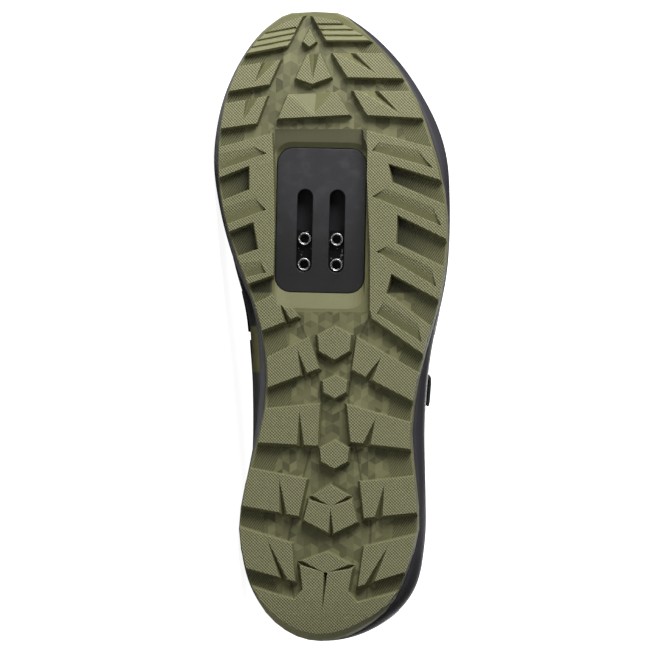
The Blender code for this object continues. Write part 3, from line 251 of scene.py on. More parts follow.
def off(tree, value, middle):
    return calc(tree, "ABSOLUTE", calc(tree, "SUBTRACT", value, middle))


def vectorCalc(tree, operation, first, second):
    return put(tree, "ShaderNodeVectorMath", {0: first, 1: second}, operation=operation)


def joinAxes(tree, x, y, z=0.0):
    return put(tree, "ShaderNodeCombineXYZ", {0: x, 1: y, 2: z}).outputs[0]


# From 0 at the start to 1 at the end. The start may be the larger of the two

def fade(tree, value, start, end):
    inputs = {"Value": value, "From Min": start, "From Max": end}
    node = put(tree, "ShaderNodeMapRange", inputs, interpolation_type="SMOOTHSTEP")
    return node.outputs["Result"]


# 1 between two places, with soft ends that lie outside them

def between(tree, value, ends, soft):
    return times(tree, fade(tree, value, ends[0] - soft, ends[0]), fade(tree, value, ends[1] + soft, ends[1]))


def blendColour(tree, factor, first, second):
    node = put(tree, "ShaderNodeMix", data_type="RGBA")
    for name, value in (("Factor_Float", factor), ("A_Color", first), ("B_Color", second)):
        connect(tree, value, next(s for s in node.inputs if s.identifier == name))
    return next(s for s in node.outputs if s.identifier == "Result_Color")


# Lays tones over a colour, one after another. A tone is a mask, its strength and its colour

def layTones(tree, colour, *tones):
    for mask, strength, tone in tones:
        colour = blendColour(tree, calc(tree, "MULTIPLY", mask, strength), colour, tone)
    return colour


def newGroup(name, inputs, outputs):
    group = bpy.data.node_groups.new(name, "ShaderNodeTree")
    for label, value in inputs.items():
        socket = group.interface.new_socket(label, in_out="INPUT", socket_type="NodeSocketFloat")
        socket.default_value = value
    for label in outputs:
        kind = "NodeSocketVector" if label == "Place" else "NodeSocketFloat"
        group.interface.new_socket(label, in_out="OUTPUT", socket_type=kind)
    return group, group.nodes.new("NodeGroupInput").outputs, group.nodes.new("NodeGroupOutput").inputs


def useGroup(tree, group, **inputs):
    node = tree.nodes.new("ShaderNodeGroup")
    node.node_tree = group
    for key, value in inputs.items():
        connect(tree, value, node.inputs[key])
    return node.outputs


# The shoe's own coordinates, and the height above the tread's ground

def makeShoeSpace():
    group, _, out = newGroup("shoeSpace", {}, ("Place", "X", "Y", "Z", "Height"))
    place = put(group, "ShaderNodeTexCoord").outputs["Object"]
    moved = vectorCalc(group, "SUBTRACT", place, shoe["shift"]).outputs[0]
    axes = []
    for i in range(3):
        axis = Vector([toWorld[row][i] for row in range(3)])
        axes.append(vectorCalc(group, "DOT_PRODUCT", moved, axis).outputs["Value"])
    along = calc(group, "DIVIDE", axes[1], shoe["length"])
    front = calc(group, "SUBTRACT", along, shoe["toeSpringStart"])
    front = calc(group, "DIVIDE", front, 1 - shoe["toeSpringStart"])
    front = calc(group, "POWER", calc(group, "MAXIMUM", front, 0.0), 2.0)
    rear = calc(group, "SUBTRACT", 1.0, calc(group, "DIVIDE", along, shoe["heelRollStart"]))
    rear = calc(group, "POWER", calc(group, "MAXIMUM", rear, 0.0), 2.0)
    rolled = calc(group, "MULTIPLY", rear, shoe["heelRoll"])
    ground = calc(group, "MULTIPLY_ADD", front, shoe["toeSpring"], rolled)
    group.links.new(joinAxes(group, *axes), out["Place"])
    for name, value in zip("XYZ", axes):
        group.links.new(value, out[name])
    group.links.new(calc(group, "SUBTRACT", axes[2], ground), out["Height"])
    return group


# Two sets of fine parallel ridges that cross, one of them stronger: 0 in a groove and 1 on a ridge

def makeCrossHatch():
    inputs = {"Across": 0.0, "Along": 0.0, "Pitch": 0.001, "Lean": 1.0, "Main": 0.5}
    group, given, out = newGroup("crossHatch", inputs, ("Ridges",))
    leaning = calc(group, "MULTIPLY", given["Across"], given["Lean"])
    ridges = []
    for operation in ("SUBTRACT", "ADD"):
        run = calc(group, operation, given["Along"], leaning)
        phase = calc(group, "DIVIDE", run, given["Pitch"])
        wave = calc(group, "SINE", calc(group, "MULTIPLY", phase, 2 * math.pi))
        ridges.append(calc(group, "MULTIPLY_ADD", wave, 0.5, 0.5))
    lesser = calc(group, "MULTIPLY", ridges[1], calc(group, "SUBTRACT", 1.0, given["Main"]))
    group.links.new(calc(group, "MULTIPLY_ADD", ridges[0], given["Main"], lesser), out["Ridges"])
    return group


# Parallel lines across a run: 0 in a line and 1 between two

def makeLines():
    group, given, out = newGroup("lines", {"Run": 0.0, "Pitch": 0.001, "Thin": 0.2}, ("Open",))
    near = calc(group, "PINGPONG", calc(group, "DIVIDE", given["Run"], given["Pitch"]), 0.5)
    group.links.new(fade(group, near, 0.0, given["Thin"]), out["Open"])
    return group


# Stacked blocks drawn as hexagons of three diamonds each, and every diamond has a tone of its own.
# Two sets of rectangles hold the hexagons' middles, and a place belongs to the nearer middle

def makeBlocks():
    group, given, out = newGroup("blockTones", {"Across": 0.0, "Along": 0.0}, ("Tone",))
    wide = calc(group, "DIVIDE", given["Across"], tread["blockWidth"])
    tall = calc(group, "DIVIDE", given["Along"], tread["blockWidth"])
    ratio = math.sqrt(3.0)
    offsets = []
    for shift in (0.0, 0.5):
        x = calc(group, "FLOORED_MODULO", calc(group, "SUBTRACT", wide, shift), 1.0)
        y = calc(group, "FLOORED_MODULO", calc(group, "SUBTRACT", tall, shift * ratio), ratio)
        x = calc(group, "SUBTRACT", x, 0.5)
        y = calc(group, "SUBTRACT", y, ratio / 2)
        offsets.append((x, y, calc(group, "MULTIPLY_ADD", x, x, calc(group, "MULTIPLY", y, y))))
    nearer = calc(group, "LESS_THAN", offsets[0][2], offsets[1][2])
    fromX, fromY = [calc(group, "MULTIPLY_ADD", calc(group, "SUBTRACT", first, second), nearer, second)
                    for first, second in zip(offsets[0][:2], offsets[1][:2])]
    cellX = calc(group, "ROUND", calc(group, "MULTIPLY", calc(group, "SUBTRACT", wide, fromX), 2.0))
    cellY = calc(group, "ROUND", calc(group, "DIVIDE", calc(group, "SUBTRACT", tall, fromY), ratio / 2))
    turn = calc(group, "DIVIDE", calc(group, "ARCTAN2", fromX, fromY), 2 * math.pi / 3)
    side = calc(group, "FLOOR", calc(group, "ADD", turn, 3.0))
    tones = []
    for level in (side, 9.0):
        cell = {"Vector": joinAxes(group, cellX, cellY, level)}
        tones.append(put(group, "ShaderNodeTexWhiteNoise", cell, noise_dimensions="3D").outputs["Value"])
    whole = calc(group, "MULTIPLY", tones[1], 1.0 - tread["diamondShare"])
    group.links.new(calc(group, "MULTIPLY_ADD", tones[0], tread["diamondShare"], whole), out["Tone"])
    return group


# How far a place lies inside a line along the tread: above 0 inside it, in ball widths

def makeInside(name, line):
    group, given, out = newGroup(name, {"Across": 0.0, "Along": 0.0}, ("Depth",))
    share = calc(group, "DIVIDE", given["Along"], shoe["length"])
    reach = calc(group, "DIVIDE", given["Across"], shoe["ball"])
    depths = []
    for side, sign in (("inner", 1.0), ("outer", -1.0)):
        curve = put(group, "ShaderNodeFloatCurve", {"Value": share})
        points = curve.mapping.curves[0].points
        points[0].location, points[-1].location = line[side][0], line[side][-1]
        for place in line[side][1:-1]:
            points.new(*place)
        curve.mapping.update()
        depths.append(calc(group, "SUBTRACT", curve.outputs[0], calc(group, "MULTIPLY", reach, sign)))
    group.links.new(calc(group, "MINIMUM", *depths), out["Depth"])
    return group


shoeSpace = makeShoeSpace()
crossHatch = makeCrossHatch()
lines = makeLines()
blockTones = makeBlocks()
insideTread = makeInside("insideTread", treadEdge)
insideChannel = makeInside("insideChannel", channel)


def hatch(tree, **inputs):
    return useGroup(tree, crossHatch, **inputs)["Ridges"]


def ruled(tree, run, pitch, thin):
    return useGroup(tree, lines, Run=run, Pitch=pitch, Thin=thin)["Open"]


def newMaterial(name):
    made = bpy.data.materials.new(name)
    made.use_nodes = True
    return made, made.node_tree, made.node_tree.nodes["Principled BSDF"]


def grain(tree, place, scale, detail=3.0):
    return put(tree, "ShaderNodeTexNoise", {"Vector": place, "Scale": scale, "Detail": detail}).outputs["Fac"]


def bumpOn(tree, height, distance, strength=1.0, normal=None):
    inputs = {"Height": height, "Distance": distance, "Strength": strength}
    if normal is not None:
        inputs["Normal"] = normal
    return put(tree, "ShaderNodeBump", inputs).outputs["Normal"]


def softEdge(tree, radius, samples=6):
    return put(tree, "ShaderNodeBevel", {"Radius": radius}, samples=samples).outputs["Normal"]


def wire(tree, shader, **values):
    names = {"colour": "Base Color", "rough": "Roughness", "metal": "Metallic", "normal": "Normal",
             "sheen": "Sheen Weight", "sheenRough": "Sheen Roughness", "specular": "Specular IOR Level"}
    for key, value in values.items():
        connect(tree, value, shader.inputs[names[key]])


# 1 inside the smooth frame round the cleat plate

def aroundPlate(tree, space):
    offX = off(tree, space["X"], plate["across"])
    offY = off(tree, space["Y"], plate["along"])
    return times(tree, fade(tree, offX, plate["halfWidth"], plate["halfWidth"] - plate["soft"]),
                 fade(tree, offY, plate["halfLength"], plate["halfLength"] - plate["soft"]))


# Where the ribs of the two toe lugs lie, on both sides of the V between them

def onToeRibs(tree, space):
    fromRear, fromFront = [calc(tree, "ADD", space["Y"], calc(tree, "MULTIPLY_ADD", space["X"], lean, -start))
                           for start, lean in tread["toeRibs"]]
    soft = tread["toeRibSoft"]
    return times(tree, fade(tree, fromRear, -soft, soft), fade(tree, fromFront, soft, -soft),
                 fade(tree, off(tree, space["X"], tread["toeV"]), *tread["toeVHalf"]),
                 fade(tree, space["Height"], *tread["toeRibHeight"]))


# The floors of the notches between the fingers, on both sides of the cleat plate

def inNotches(tree, space, sideways):
    return times(tree, between(tree, space["Y"], tread["notch"], tread["notchSoft"]),
                 fade(tree, sideways, *tread["notchSide"]),
                 fade(tree, space["Height"], *tread["notchHeight"]))


# 1 along the top edges of the blocks, where a rounded normal turns away from the flat one. Lightened as
# rubbed wear and as a painted highlight

def onWornLitEdges(tree, space):
    rounded = softEdge(tree, tread["wearHighlightRadius"], 4)
    plain = put(tree, "ShaderNodeNewGeometry").outputs["True Normal"]
    turned = vectorCalc(tree, "DOT_PRODUCT", rounded, plain).outputs["Value"]
    return times(tree, fade(tree, turned, *tread["wearHighlightTurn"]),
                 fade(tree, space["Height"], *tread["wearHighlightHeight"]))


# The olive rubber of the tread: knurled faces, ribbed floors at the edges, toned blocks on the inner floor

def makeRubber():
    made, tree, shader = newMaterial("oliveRubber")
    space = useGroup(tree, shoeSpace)
    high = space["Height"]
    sideways = calc(tree, "ABSOLUTE", space["X"])
    flat = {"Across": space["X"], "Along": space["Y"]}
    edgeDepth = useGroup(tree, insideTread, **flat)["Depth"]
    channelDepth = useGroup(tree, insideChannel, **flat)["Depth"]
    smooth = aroundPlate(tree, space)
    face = fade(tree, high, *tread["face"])
    floor = times(tree, fade(tree, high, *tread["floorLow"]), fade(tree, high, *tread["floorHigh"]),
                  calc(tree, "SUBTRACT", 1.0, smooth))
    # Masks for painted shade inside the deeper channel and along its stepped edge
    inner = fade(tree, channelDepth, *tread["channelEdge"])
    stepLine = fade(tree, calc(tree, "ABSOLUTE", channelDepth), *tread["stepLine"])
    toeRibs = onToeRibs(tree, space)
    notch = inNotches(tree, space, sideways)
    band = calc(tree, "MAXIMUM", fade(tree, edgeDepth, *tread["ribBand"]), notch)
    # Painted shadow: the notch floors are darkened where fingers and panels would cast shade, strongest near
    # the rail and fading towards the rim
    notch = times(tree, notch, fade(tree, sideways, *tread["notchShade"]))
    # Painted highlight along the tread's rim, on its rounded edge just below the face
    rim = times(tree, fade(tree, edgeDepth, *tread["rim"]), fade(tree, high, *tread["rimHeight"]))
    acrossPlate = off(tree, space["X"], plate["across"])
    # Painted shade on the frame's front slope, which faces away from the light
    paintedSlopeShade = times(tree, smooth, fade(tree, space["Y"], *plate["slopeAlong"]),
                  fade(tree, acrossPlate, *plate["slopeSide"]))
    heel = times(tree, fade(tree, space["Y"], *tread["heelEnd"]), fade(tree, high, *tread["heelHeight"]))
    # Top edges of the blocks, lighter partly as rubbed wear and partly as a painted highlight
    wearAndHighlight = onWornLitEdges(tree, space)

    knurl = hatch(tree, Pitch=tread["knurlPitch"], Lean=1.0, Main=tread["knurlMain"], **flat)
    slanted = calc(tree, "MULTIPLY_ADD", space["X"], tread["ribLean"], space["Y"])
    ribs = ruled(tree, slanted, tread["ribPitch"], 0.45)
    tones = useGroup(tree, blockTones, **flat)["Tone"]
    mottle = grain(tree, space["Place"], 120.0)
    dust = grain(tree, space["Place"], 900.0, 2.0)

    # Painted shade in the knurl's grooves and painted light on its ridges; the stronger set stands for the
    # ridges the key light picks out
    top = blendColour(tree, knurl, (0.052, 0.051, 0.020, 1), (0.325, 0.322, 0.172, 1))
    top = layTones(tree, top, (mottle, 0.25, (0.125, 0.125, 0.056, 1)),
                   (toeRibs, 0.85, (0.215, 0.212, 0.108, 1)))
    blocks = blendColour(tree, tones, (0.062, 0.061, 0.026, 1), (0.212, 0.210, 0.102, 1))
    # Painted shade: the floor inside the deeper channel is darker, and a darker line runs along the channel's
    # edge
    blocks = layTones(tree, blocks, (inner, 0.10, (0.050, 0.050, 0.020, 1)),
                      (stepLine, 0.55, (0.030, 0.030, 0.012, 1)))
    ribbed = blendColour(tree, ribs, (0.060, 0.059, 0.025, 1), (0.165, 0.164, 0.080, 1))
    colour = blendColour(tree, mottle, (0.138, 0.137, 0.062, 1), (0.165, 0.164, 0.076, 1))
    colour = blendColour(tree, floor, colour, blendColour(tree, band, blocks, ribbed))
    # Painted light on the groove sides of the toe ribs, lifting their shade so the ribs read as soft
    # highlights
    colour = layTones(tree, colour, (toeRibs, 0.75, (0.330, 0.325, 0.175, 1)))
    colour = blendColour(tree, face, colour, top)
    colour = layTones(
        tree, colour,
        (wearAndHighlight, 0.30, (0.420, 0.415, 0.240, 1)), (notch, 0.76, (0.016, 0.016, 0.007, 1)),
        (rim, 0.45, (0.360, 0.355, 0.200, 1)), (paintedSlopeShade, 0.68, (0.020, 0.020, 0.009, 1)),
        (heel, 0.75, (0.330, 0.325, 0.165, 1)),
    )

    stepped = times(tree, tones, calc(tree, "SUBTRACT", 1.0, band), 0.5)
    low = times(tree, floor, calc(tree, "MULTIPLY_ADD", ribs, band, stepped))
    knurled = times(tree, face, calc(tree, "MULTIPLY_ADD", toeRibs, -1.2, 1.4))
    height = calc(tree, "MULTIPLY_ADD", knurl, knurled, low)
    height = calc(tree, "MULTIPLY_ADD", dust, 0.2, height)
    wire(tree, shader, colour=colour, rough=calc(tree, "MULTIPLY_ADD", dust, 0.18, 0.50), specular=0.35,
         normal=bumpOn(tree, height, 0.00016, 0.9, softEdge(tree, tread["bevel"])))
    return made


# The dark foam and rubber band between tread and upper. Its pocket behind the cleat plate is painted shade,
# nearly black

def makeFoam():
    made, tree, shader = newMaterial("charcoalFoam")
    space = useGroup(tree, shoeSpace)
    fine = grain(tree, space["Place"], 1600.0, 2.0)
    broad = grain(tree, space["Place"], 60.0)
    # Painted shade: the recessed pocket behind the cleat plate is made nearly black
    pocketShade = times(tree, aroundPlate(tree, space), fade(tree, space["Height"], *panels["foamPocketShade"]))
    colour = blendColour(tree, broad, (0.034, 0.032, 0.038, 1), (0.048, 0.046, 0.054, 1))
    # Painted light: the inner side, which faces the floor, is made paler
    side = fade(tree, space["X"], *panels["foamLitSide"])
    colour = layTones(tree, colour, (side, 0.7, (0.170, 0.164, 0.178, 1)),
                      (pocketShade, 1.0, (0.005, 0.005, 0.007, 1)))
    rough = calc(tree, "MULTIPLY_ADD", broad, 0.15, 0.50)
    normal = bumpOn(tree, fine, 0.00006, 0.6, softEdge(tree, 0.0005))
    wire(tree, shader, colour=colour, rough=rough, normal=normal, specular=0.32)
    return made


# Glass-filled nylon with a fine spark-eroded grain, and painted shade that darkens it towards the heel

def makeNylon():
    made, tree, shader = newMaterial("blackNylon")
    space = useGroup(tree, shoeSpace)
    fine = grain(tree, space["Place"], 2400.0, 2.0)
    scuff = grain(tree, space["Place"], 160.0, 6.0)
    scuffed = fade(tree, scuff, 0.45, 0.75)
    colour = blendColour(tree, scuffed, (0.026, 0.026, 0.029, 1), (0.042, 0.042, 0.046, 1))
    # Painted shade: darker towards the heel, where the reflection of the key light falls off
    rear = fade(tree, space["Y"], *plate["shadeAlong"])
    colour = blendColour(tree, rear, colour, (0.007, 0.007, 0.008, 1))
    rough = calc(tree, "MULTIPLY_ADD", scuff, 0.2, 0.36)
    normal = bumpOn(tree, fine, 0.00005, 0.7, softEdge(tree, 0.0004))
    wire(tree, shader, colour=colour, rough=rough, normal=normal, specular=0.5)
    return made


# Steel, darkened by its coating and scratched bright by the bolts where the marks value lets it

def makeSteel(name, dark, bright, rough, marks):
    made, tree, shader = newMaterial(name)
    space = useGroup(tree, shoeSpace)
    stretched = put(tree, "ShaderNodeMapping", {"Vector": space["Place"], "Scale": (900.0, 60.0, 900.0)})
    brushed = grain(tree, stretched.outputs[0], 1.0)
    scratches = grain(tree, space["Place"], 520.0, 5.0)
    colour = blendColour(tree, fade(tree, scratches, marks, marks + 0.06), dark, bright)
    roughness = calc(tree, "MULTIPLY_ADD", brushed, 0.2, rough)
    wire(tree, shader, colour=colour, rough=roughness, metal=0.85,
         normal=bumpOn(tree, brushed, 0.00004, 0.5, softEdge(tree, 0.0002)))
    return made


# How far a value lies from a middle, in half widths, raised so that two of them add up to a full oval

def ovalPart(tree, value, middle, half):
    return calc(tree, "POWER", calc(tree, "DIVIDE", off(tree, value, middle), half), panels["ventPower"])


# Coated synthetic leather for the upper, with a knitted vent field on both sides of the forefoot,
# an olive patch at the inner arch and a painted sheen that makes the inner waist paler

def makeSynthetic():
    made, tree, shader = newMaterial("blackSynthetic")
    space = useGroup(tree, shoeSpace)
    pebble = put(tree, "ShaderNodeTexVoronoi", {"Vector": space["Place"], "Scale": 900.0},
                 feature="SMOOTH_F1").outputs["Distance"]
    broad = grain(tree, space["Place"], 45.0)
    sideways = calc(tree, "ABSOLUTE", space["X"])
    patch = times(tree, between(tree, space["Y"], panels["patchAlong"], panels["patchSoft"]),
                  fade(tree, space["X"], *panels["patchSide"]), fade(tree, space["Z"], *panels["patchTop"]))
    (middleX, middleY), (halfX, halfY) = panels["ventMiddle"], panels["ventHalf"]
    ovalEdge = calc(tree, "ADD", ovalPart(tree, space["Y"], middleY, halfY),
                    ovalPart(tree, sideways, middleX, halfX))
    vent = times(tree, fade(tree, ovalEdge, 1.04, 0.96), fade(tree, space["Z"], *panels["ventFrom"]))
    # Painted sheen: the inner waist is made a paler grey
    waistSheen = times(tree, fade(tree, space["Y"], *panels["waistFront"]),
                  fade(tree, space["Y"], *panels["waistRear"]),
                  fade(tree, space["X"], *panels["waistSide"]))
    knit = hatch(tree, Across=space["X"], Along=space["Y"], Pitch=0.0016, Lean=0.7)
    colour = blendColour(tree, broad, (0.020, 0.019, 0.022, 1), (0.034, 0.033, 0.037, 1))
    netted = blendColour(tree, knit, (0.050, 0.050, 0.055, 1), (0.010, 0.010, 0.011, 1))
    colour = layTones(tree, colour, (waistSheen, 0.8, (0.190, 0.188, 0.200, 1)), (vent, 1.0, netted),
                      (patch, 1.0, (0.420, 0.400, 0.170, 1)))
    height = blendColour(tree, vent, calc(tree, "MULTIPLY", pebble, 0.35), calc(tree, "MULTIPLY", knit, -1.6))
    wire(tree, shader, colour=colour, rough=calc(tree, "MULTIPLY_ADD", vent, 0.32, 0.40), specular=0.45,
         normal=bumpOn(tree, height, 0.00022, 0.7))
    return made


# Smooth film over the toe and the heel, and the rubber of the pull tab

def makeFilm(name, dark, light, rough):
    made, tree, shader = newMaterial(name)
    space = useGroup(tree, shoeSpace)
    fine = grain(tree, space["Place"], 1300.0, 2.0)
    broad = grain(tree, space["Place"], 70.0)
    colour = blendColour(tree, broad, dark, light)
    wire(tree, shader, colour=colour, rough=calc(tree, "MULTIPLY_ADD", broad, 0.12, rough), specular=0.5,
         normal=bumpOn(tree, fine, 0.00005, 0.6, softEdge(tree, 0.0004)))
    return made


# Woven cloth. The pitch sets whether it reads as lining, footbed cover, tongue mesh or thread

def makeCloth(name, pitch, lean, dark, light, depth=0.00025):
    made, tree, shader = newMaterial(name)
    space = useGroup(tree, shoeSpace)
    slant = calc(tree, "MULTIPLY_ADD", space["Z"], 0.8, space["X"])
    weave = hatch(tree, Across=slant, Along=space["Y"], Pitch=pitch, Lean=lean)
    fuzz = grain(tree, space["Place"], 2500.0, 3.0)
    broad = grain(tree, space["Place"], 50.0)
    colour = layTones(tree, blendColour(tree, weave, dark, light), (broad, 0.35, dark))
    height = calc(tree, "MULTIPLY_ADD", fuzz, 0.35, weave)
    wire(tree, shader, colour=colour, rough=0.88, specular=0.25, sheen=0.25, sheenRough=0.5,
         normal=bumpOn(tree, height, depth, 0.8))
    return made


# Nylon webbing with ribs across its width

def makeWebbing():
    made, tree, shader = newMaterial("webbing")
    space = useGroup(tree, shoeSpace)
    ribs = ruled(tree, space["Y"], 0.0011, 0.4)
    picks = ruled(tree, space["X"], 0.0009, 0.4)
    fuzz = grain(tree, space["Place"], 2200.0, 3.0)
    weave = calc(tree, "MULTIPLY", ribs, calc(tree, "MULTIPLY_ADD", picks, 0.5, 0.5))
    colour = blendColour(tree, weave, (0.008, 0.008, 0.009, 1), (0.030, 0.030, 0.033, 1))
    height = calc(tree, "MULTIPLY_ADD", fuzz, 0.4, weave)
    wire(tree, shader, colour=colour, rough=0.72, specular=0.3, sheen=0.2, sheenRough=0.4,
         normal=bumpOn(tree, height, 0.00022, 0.8))
    return made


looks = {
    "olive_rubber": makeRubber(),
    "charcoal_foam": makeFoam(),
    "black_nylon": makeNylon(),
    "steel": makeSteel("darkSteel", (0.010, 0.010, 0.010, 1), (0.240, 0.236, 0.230, 1), 0.36, 0.60),
    "brightSteel": makeSteel("brightSteel", (0.20, 0.20, 0.20, 1), (0.62, 0.61, 0.60, 1), 0.24, 0.40),
    "black_synthetic": makeSynthetic(),
    "toeFilm": makeFilm("toeFilm", (0.020, 0.020, 0.022, 1), (0.032, 0.032, 0.035, 1), 0.34),
    "heelFilm": makeFilm("heelFilm", (0.030, 0.029, 0.033, 1), (0.046, 0.045, 0.050, 1), 0.34),
    "lining": makeCloth("liningCloth", 0.0013, 0.9, (0.014, 0.014, 0.016, 1), (0.040, 0.040, 0.044, 1)),
    "padded_mesh": makeCloth("tongueMesh", 0.0024, 0.7, (0.010, 0.010, 0.011, 1), (0.046, 0.046, 0.050, 1),
                             0.0004),
    "footbed_cloth": makeCloth("footbedCloth", 0.0010, 1.0, (0.034, 0.036, 0.032, 1),
                               (0.070, 0.072, 0.064, 1)),
    "webbing": makeWebbing(),
    "tab_rubber": makeFilm("tabRubber", (0.018, 0.018, 0.020, 1), (0.034, 0.034, 0.037, 1), 0.46),
    "thread": makeCloth("sewingThread", 0.0006, 0.4, (0.055, 0.055, 0.060, 1), (0.120, 0.120, 0.128, 1),
                        0.0001),
}

print("materials:", len(looks))


def dress(obj, look):
    obj.data.materials.clear()
    obj.data.materials.append(looks[look])


# Hard CAD nodes keep their shape and get their finish

for name, look in (("outsole", "olive_rubber"), ("cleat_plate", "black_nylon"), ("nut_plate", "steel")):
    nodes[name].material_slots[0].material = looks[look]


def finishPiece(obj, slotName, *replaced):
    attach(obj, "root")
    if replaced:
        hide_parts(*replaced)


def selectOnly(obj):
    bpy.ops.object.select_all(action="DESELECT")
    obj.select_set(True)
    bpy.context.view_layer.objects.active = obj


def showMesh(mesh):
    obj = bpy.data.objects.new(mesh.name, mesh)
    bpy.context.scene.collection.objects.link(obj)
    return obj


# A smooth copy of a soft CAD solid: its triangles become quads again, its sharp edges are creased,
# and it is subdivided

def softCopy(nodeName, name, levels, crease, sharpAngle=40.0):
    source = nodes[nodeName]
    mesh = source.data.copy()
    mesh.name = name
    obj = showMesh(mesh)
    obj.matrix_world = source.matrix_world.copy()
    selectOnly(obj)
    bpy.ops.object.mode_set(mode="EDIT")
    bpy.ops.mesh.select_all(action="SELECT")
    bpy.ops.mesh.remove_doubles(threshold=0.00001)
    limits = {"face_threshold": math.radians(60), "shape_threshold": math.radians(120)}
    bpy.ops.mesh.tris_convert_to_quads(**limits)
    bpy.ops.mesh.select_all(action="DESELECT")
    bpy.ops.mesh.select_mode(type="EDGE")
    bpy.ops.mesh.edges_select_sharp(sharpness=math.radians(sharpAngle))
    bpy.ops.transform.edge_crease(value=crease)
    bpy.ops.mesh.select_all(action="SELECT")
    bpy.ops.mesh.normals_make_consistent(inside=False)
    bpy.ops.object.mode_set(mode="OBJECT")
    smooth = obj.modifiers.new("smooth", "SUBSURF")
    smooth.levels = levels
    smooth.render_levels = levels
    bpy.ops.object.modifier_apply(modifier="smooth")
    mesh.shade_smooth()
    return obj


def fadeTo(value, start, end):
    t = min(1.0, max(0.0, (value - start) / (end - start)))
    return t * t * (3.0 - 2.0 * t)


# Soft troughs with a low ridge on both sides, pressed into the vamp where the foot bends

def pressCreases(obj):
    mesh = obj.data
    normals = [vertex.normal.copy() for vertex in mesh.vertices]
    for vertex, normal in zip(mesh.vertices, normals):
        place = toShoe @ vertex.co
        reach = creases["halfReach"]
        sideways = fadeTo(abs(place.x), reach, reach * creases["fullShare"])
        high = fadeTo(place.z, creases["fromHeight"], creases["fromHeight"] + creases["rise"])
        if sideways * high == 0.0:
            continue
        away = (toShoe.to_3x3() @ normal).z
        move = 0.0
        for along, lean, depth, width in creases["lines"]:
            wander = creases["wave"] * math.sin(place.x * creases["waveTurns"] + along * creases["waveStart"])
            t = (place.y - along * shoe["length"] - lean * place.x - wander) / width
            move += depth * (t * t - 1.0) * math.exp(-t * t)
        vertex.co += normal * move * sideways * high * (1.0 if away > 0.0 else -1.0)
    mesh.update()


def treeOf(nodeName):
    source = nodes[nodeName]
    places = [source.matrix_world @ vertex.co for vertex in source.data.vertices]
    return BVHTree.FromPolygons(places, [tuple(face.vertices) for face in source.data.polygons])


# Where a neighbour lies close, a smooth copy that bulges past its CAD solid is set back onto its surface

def keepClear(obj, nodeName, *neighbours):
    own = treeOf(nodeName)
    others = [treeOf(name) for name in neighbours]
    for vertex in obj.data.vertices:
        if all(other.find_nearest(vertex.co, shoe["nearBy"])[0] is None for other in others):
            continue
        place, normal, _, _ = own.find_nearest(vertex.co)
        if (vertex.co - place).dot(normal) > 0.0:
            vertex.co = place
    obj.data.update()


# The upper's faces that look towards the foot get the lining

def lineUpper(obj):
    obj.data.materials.clear()
    obj.data.materials.append(looks["black_synthetic"])
    obj.data.materials.append(looks["lining"])
    low, high = foot["along"]
    for face in obj.data.polygons:
        centre = toShoe @ face.center
        normal = toShoe.to_3x3() @ face.normal
        middle = Vector((0.0, min(max(centre.y, low), high), foot["height"]))
        if normal.dot(centre - middle) < 0.0:
            face.material_index = 1


midsole = softCopy("midsole", "foamMidsole", 2, 1.0, 35.0)
keepClear(midsole, "midsole", "outsole", "cleat_plate")
dress(midsole, "charcoal_foam")
finishPiece(midsole, "charcoal_foam", "midsole")

upper = softCopy("upper", "upperShell", 2, 0.75)
pressCreases(upper)
lineUpper(upper)
finishPiece(upper, "black_synthetic", "upper")

tongue = softCopy("tongue", "tonguePad", 2, 0.3)
dress(tongue, "padded_mesh")
finishPiece(tongue, "padded_mesh", "tongue")

insole = softCopy("insole", "footbed", 1, 0.5)
dress(insole, "footbed_cloth")
finishPiece(insole, "footbed_cloth", "insole")

for nodeName, name, look, slotName in (
    ("strap_front", "strapFront", "webbing", "webbing"),
    ("strap_middle", "strapMiddle", "webbing", "webbing"),
    ("strap_instep", "strapInstep", "webbing", "webbing"),
    ("strap_tab", "strapPullTab", "tab_rubber", "tab_rubber"),
    ("toe_guard", "toeGuard", "toeFilm", "guard_film"),
    ("heel_counter", "heelCounter", "heelFilm", "guard_film"),
):
    piece = softCopy(nodeName, name, 2, 0.85)
    dress(piece, look)
    finishPiece(piece, slotName, nodeName)
print("soft pieces made")


# A round tube along a list of places in the shoe's frame, added to a collection of them

def addTube(collected, points, radius, sides):
    points = [toWorld @ point for point in points]
    loops = []
    for i, point in enumerate(points):
        along = (points[min(i + 1, len(points) - 1)] - points[max(i - 1, 0)]).normalized()
        aside = along.orthogonal().normalized()
        other = along.cross(aside)
        loop = []
        for k in range(sides):
            a = 2 * math.pi * k / sides
            loop.append(collected.verts.new(point + (aside * math.cos(a) + other * math.sin(a)) * radius))
        loops.append(loop)
    for first, second in zip(loops[:-1], loops[1:]):
        for k in range(sides):
            after = (k + 1) % sides
            collected.faces.new((first[k], first[after], second[after], second[k]))
    collected.faces.new(loops[0][::-1])
    collected.faces.new(loops[-1])


def finishTubes(collected, name, look, slotName):
    bmesh.ops.recalc_face_normals(collected, faces=collected.faces[:])
    mesh = bpy.data.meshes.new(name)
    collected.to_mesh(mesh)
    collected.free()
    mesh.shade_smooth()
    obj = showMesh(mesh)
    dress(obj, look)
    finishPiece(obj, slotName)


# Threads and bright rims of the four collars behind the slots

def collarCentres():
    points = [toShoe @ vertex.co for vertex in nodes["nut_plate"].data.vertices]
    lowest = min(p.z for p in points)
    face = [p for p in points if p.z < lowest + threads["faceDepth"]]
    middle = sum(face, Vector()) / len(face)
    centres = []
    for right in (True, False):
        for ahead in (True, False):
            own = [p for p in face if (p.x > middle.x) == right and (p.y > middle.y) == ahead]
            low = Vector((min(p.x for p in own), min(p.y for p in own), lowest))
            high = Vector((max(p.x for p in own), max(p.y for p in own), lowest))
            centres.append((low + high) / 2)
    return centres


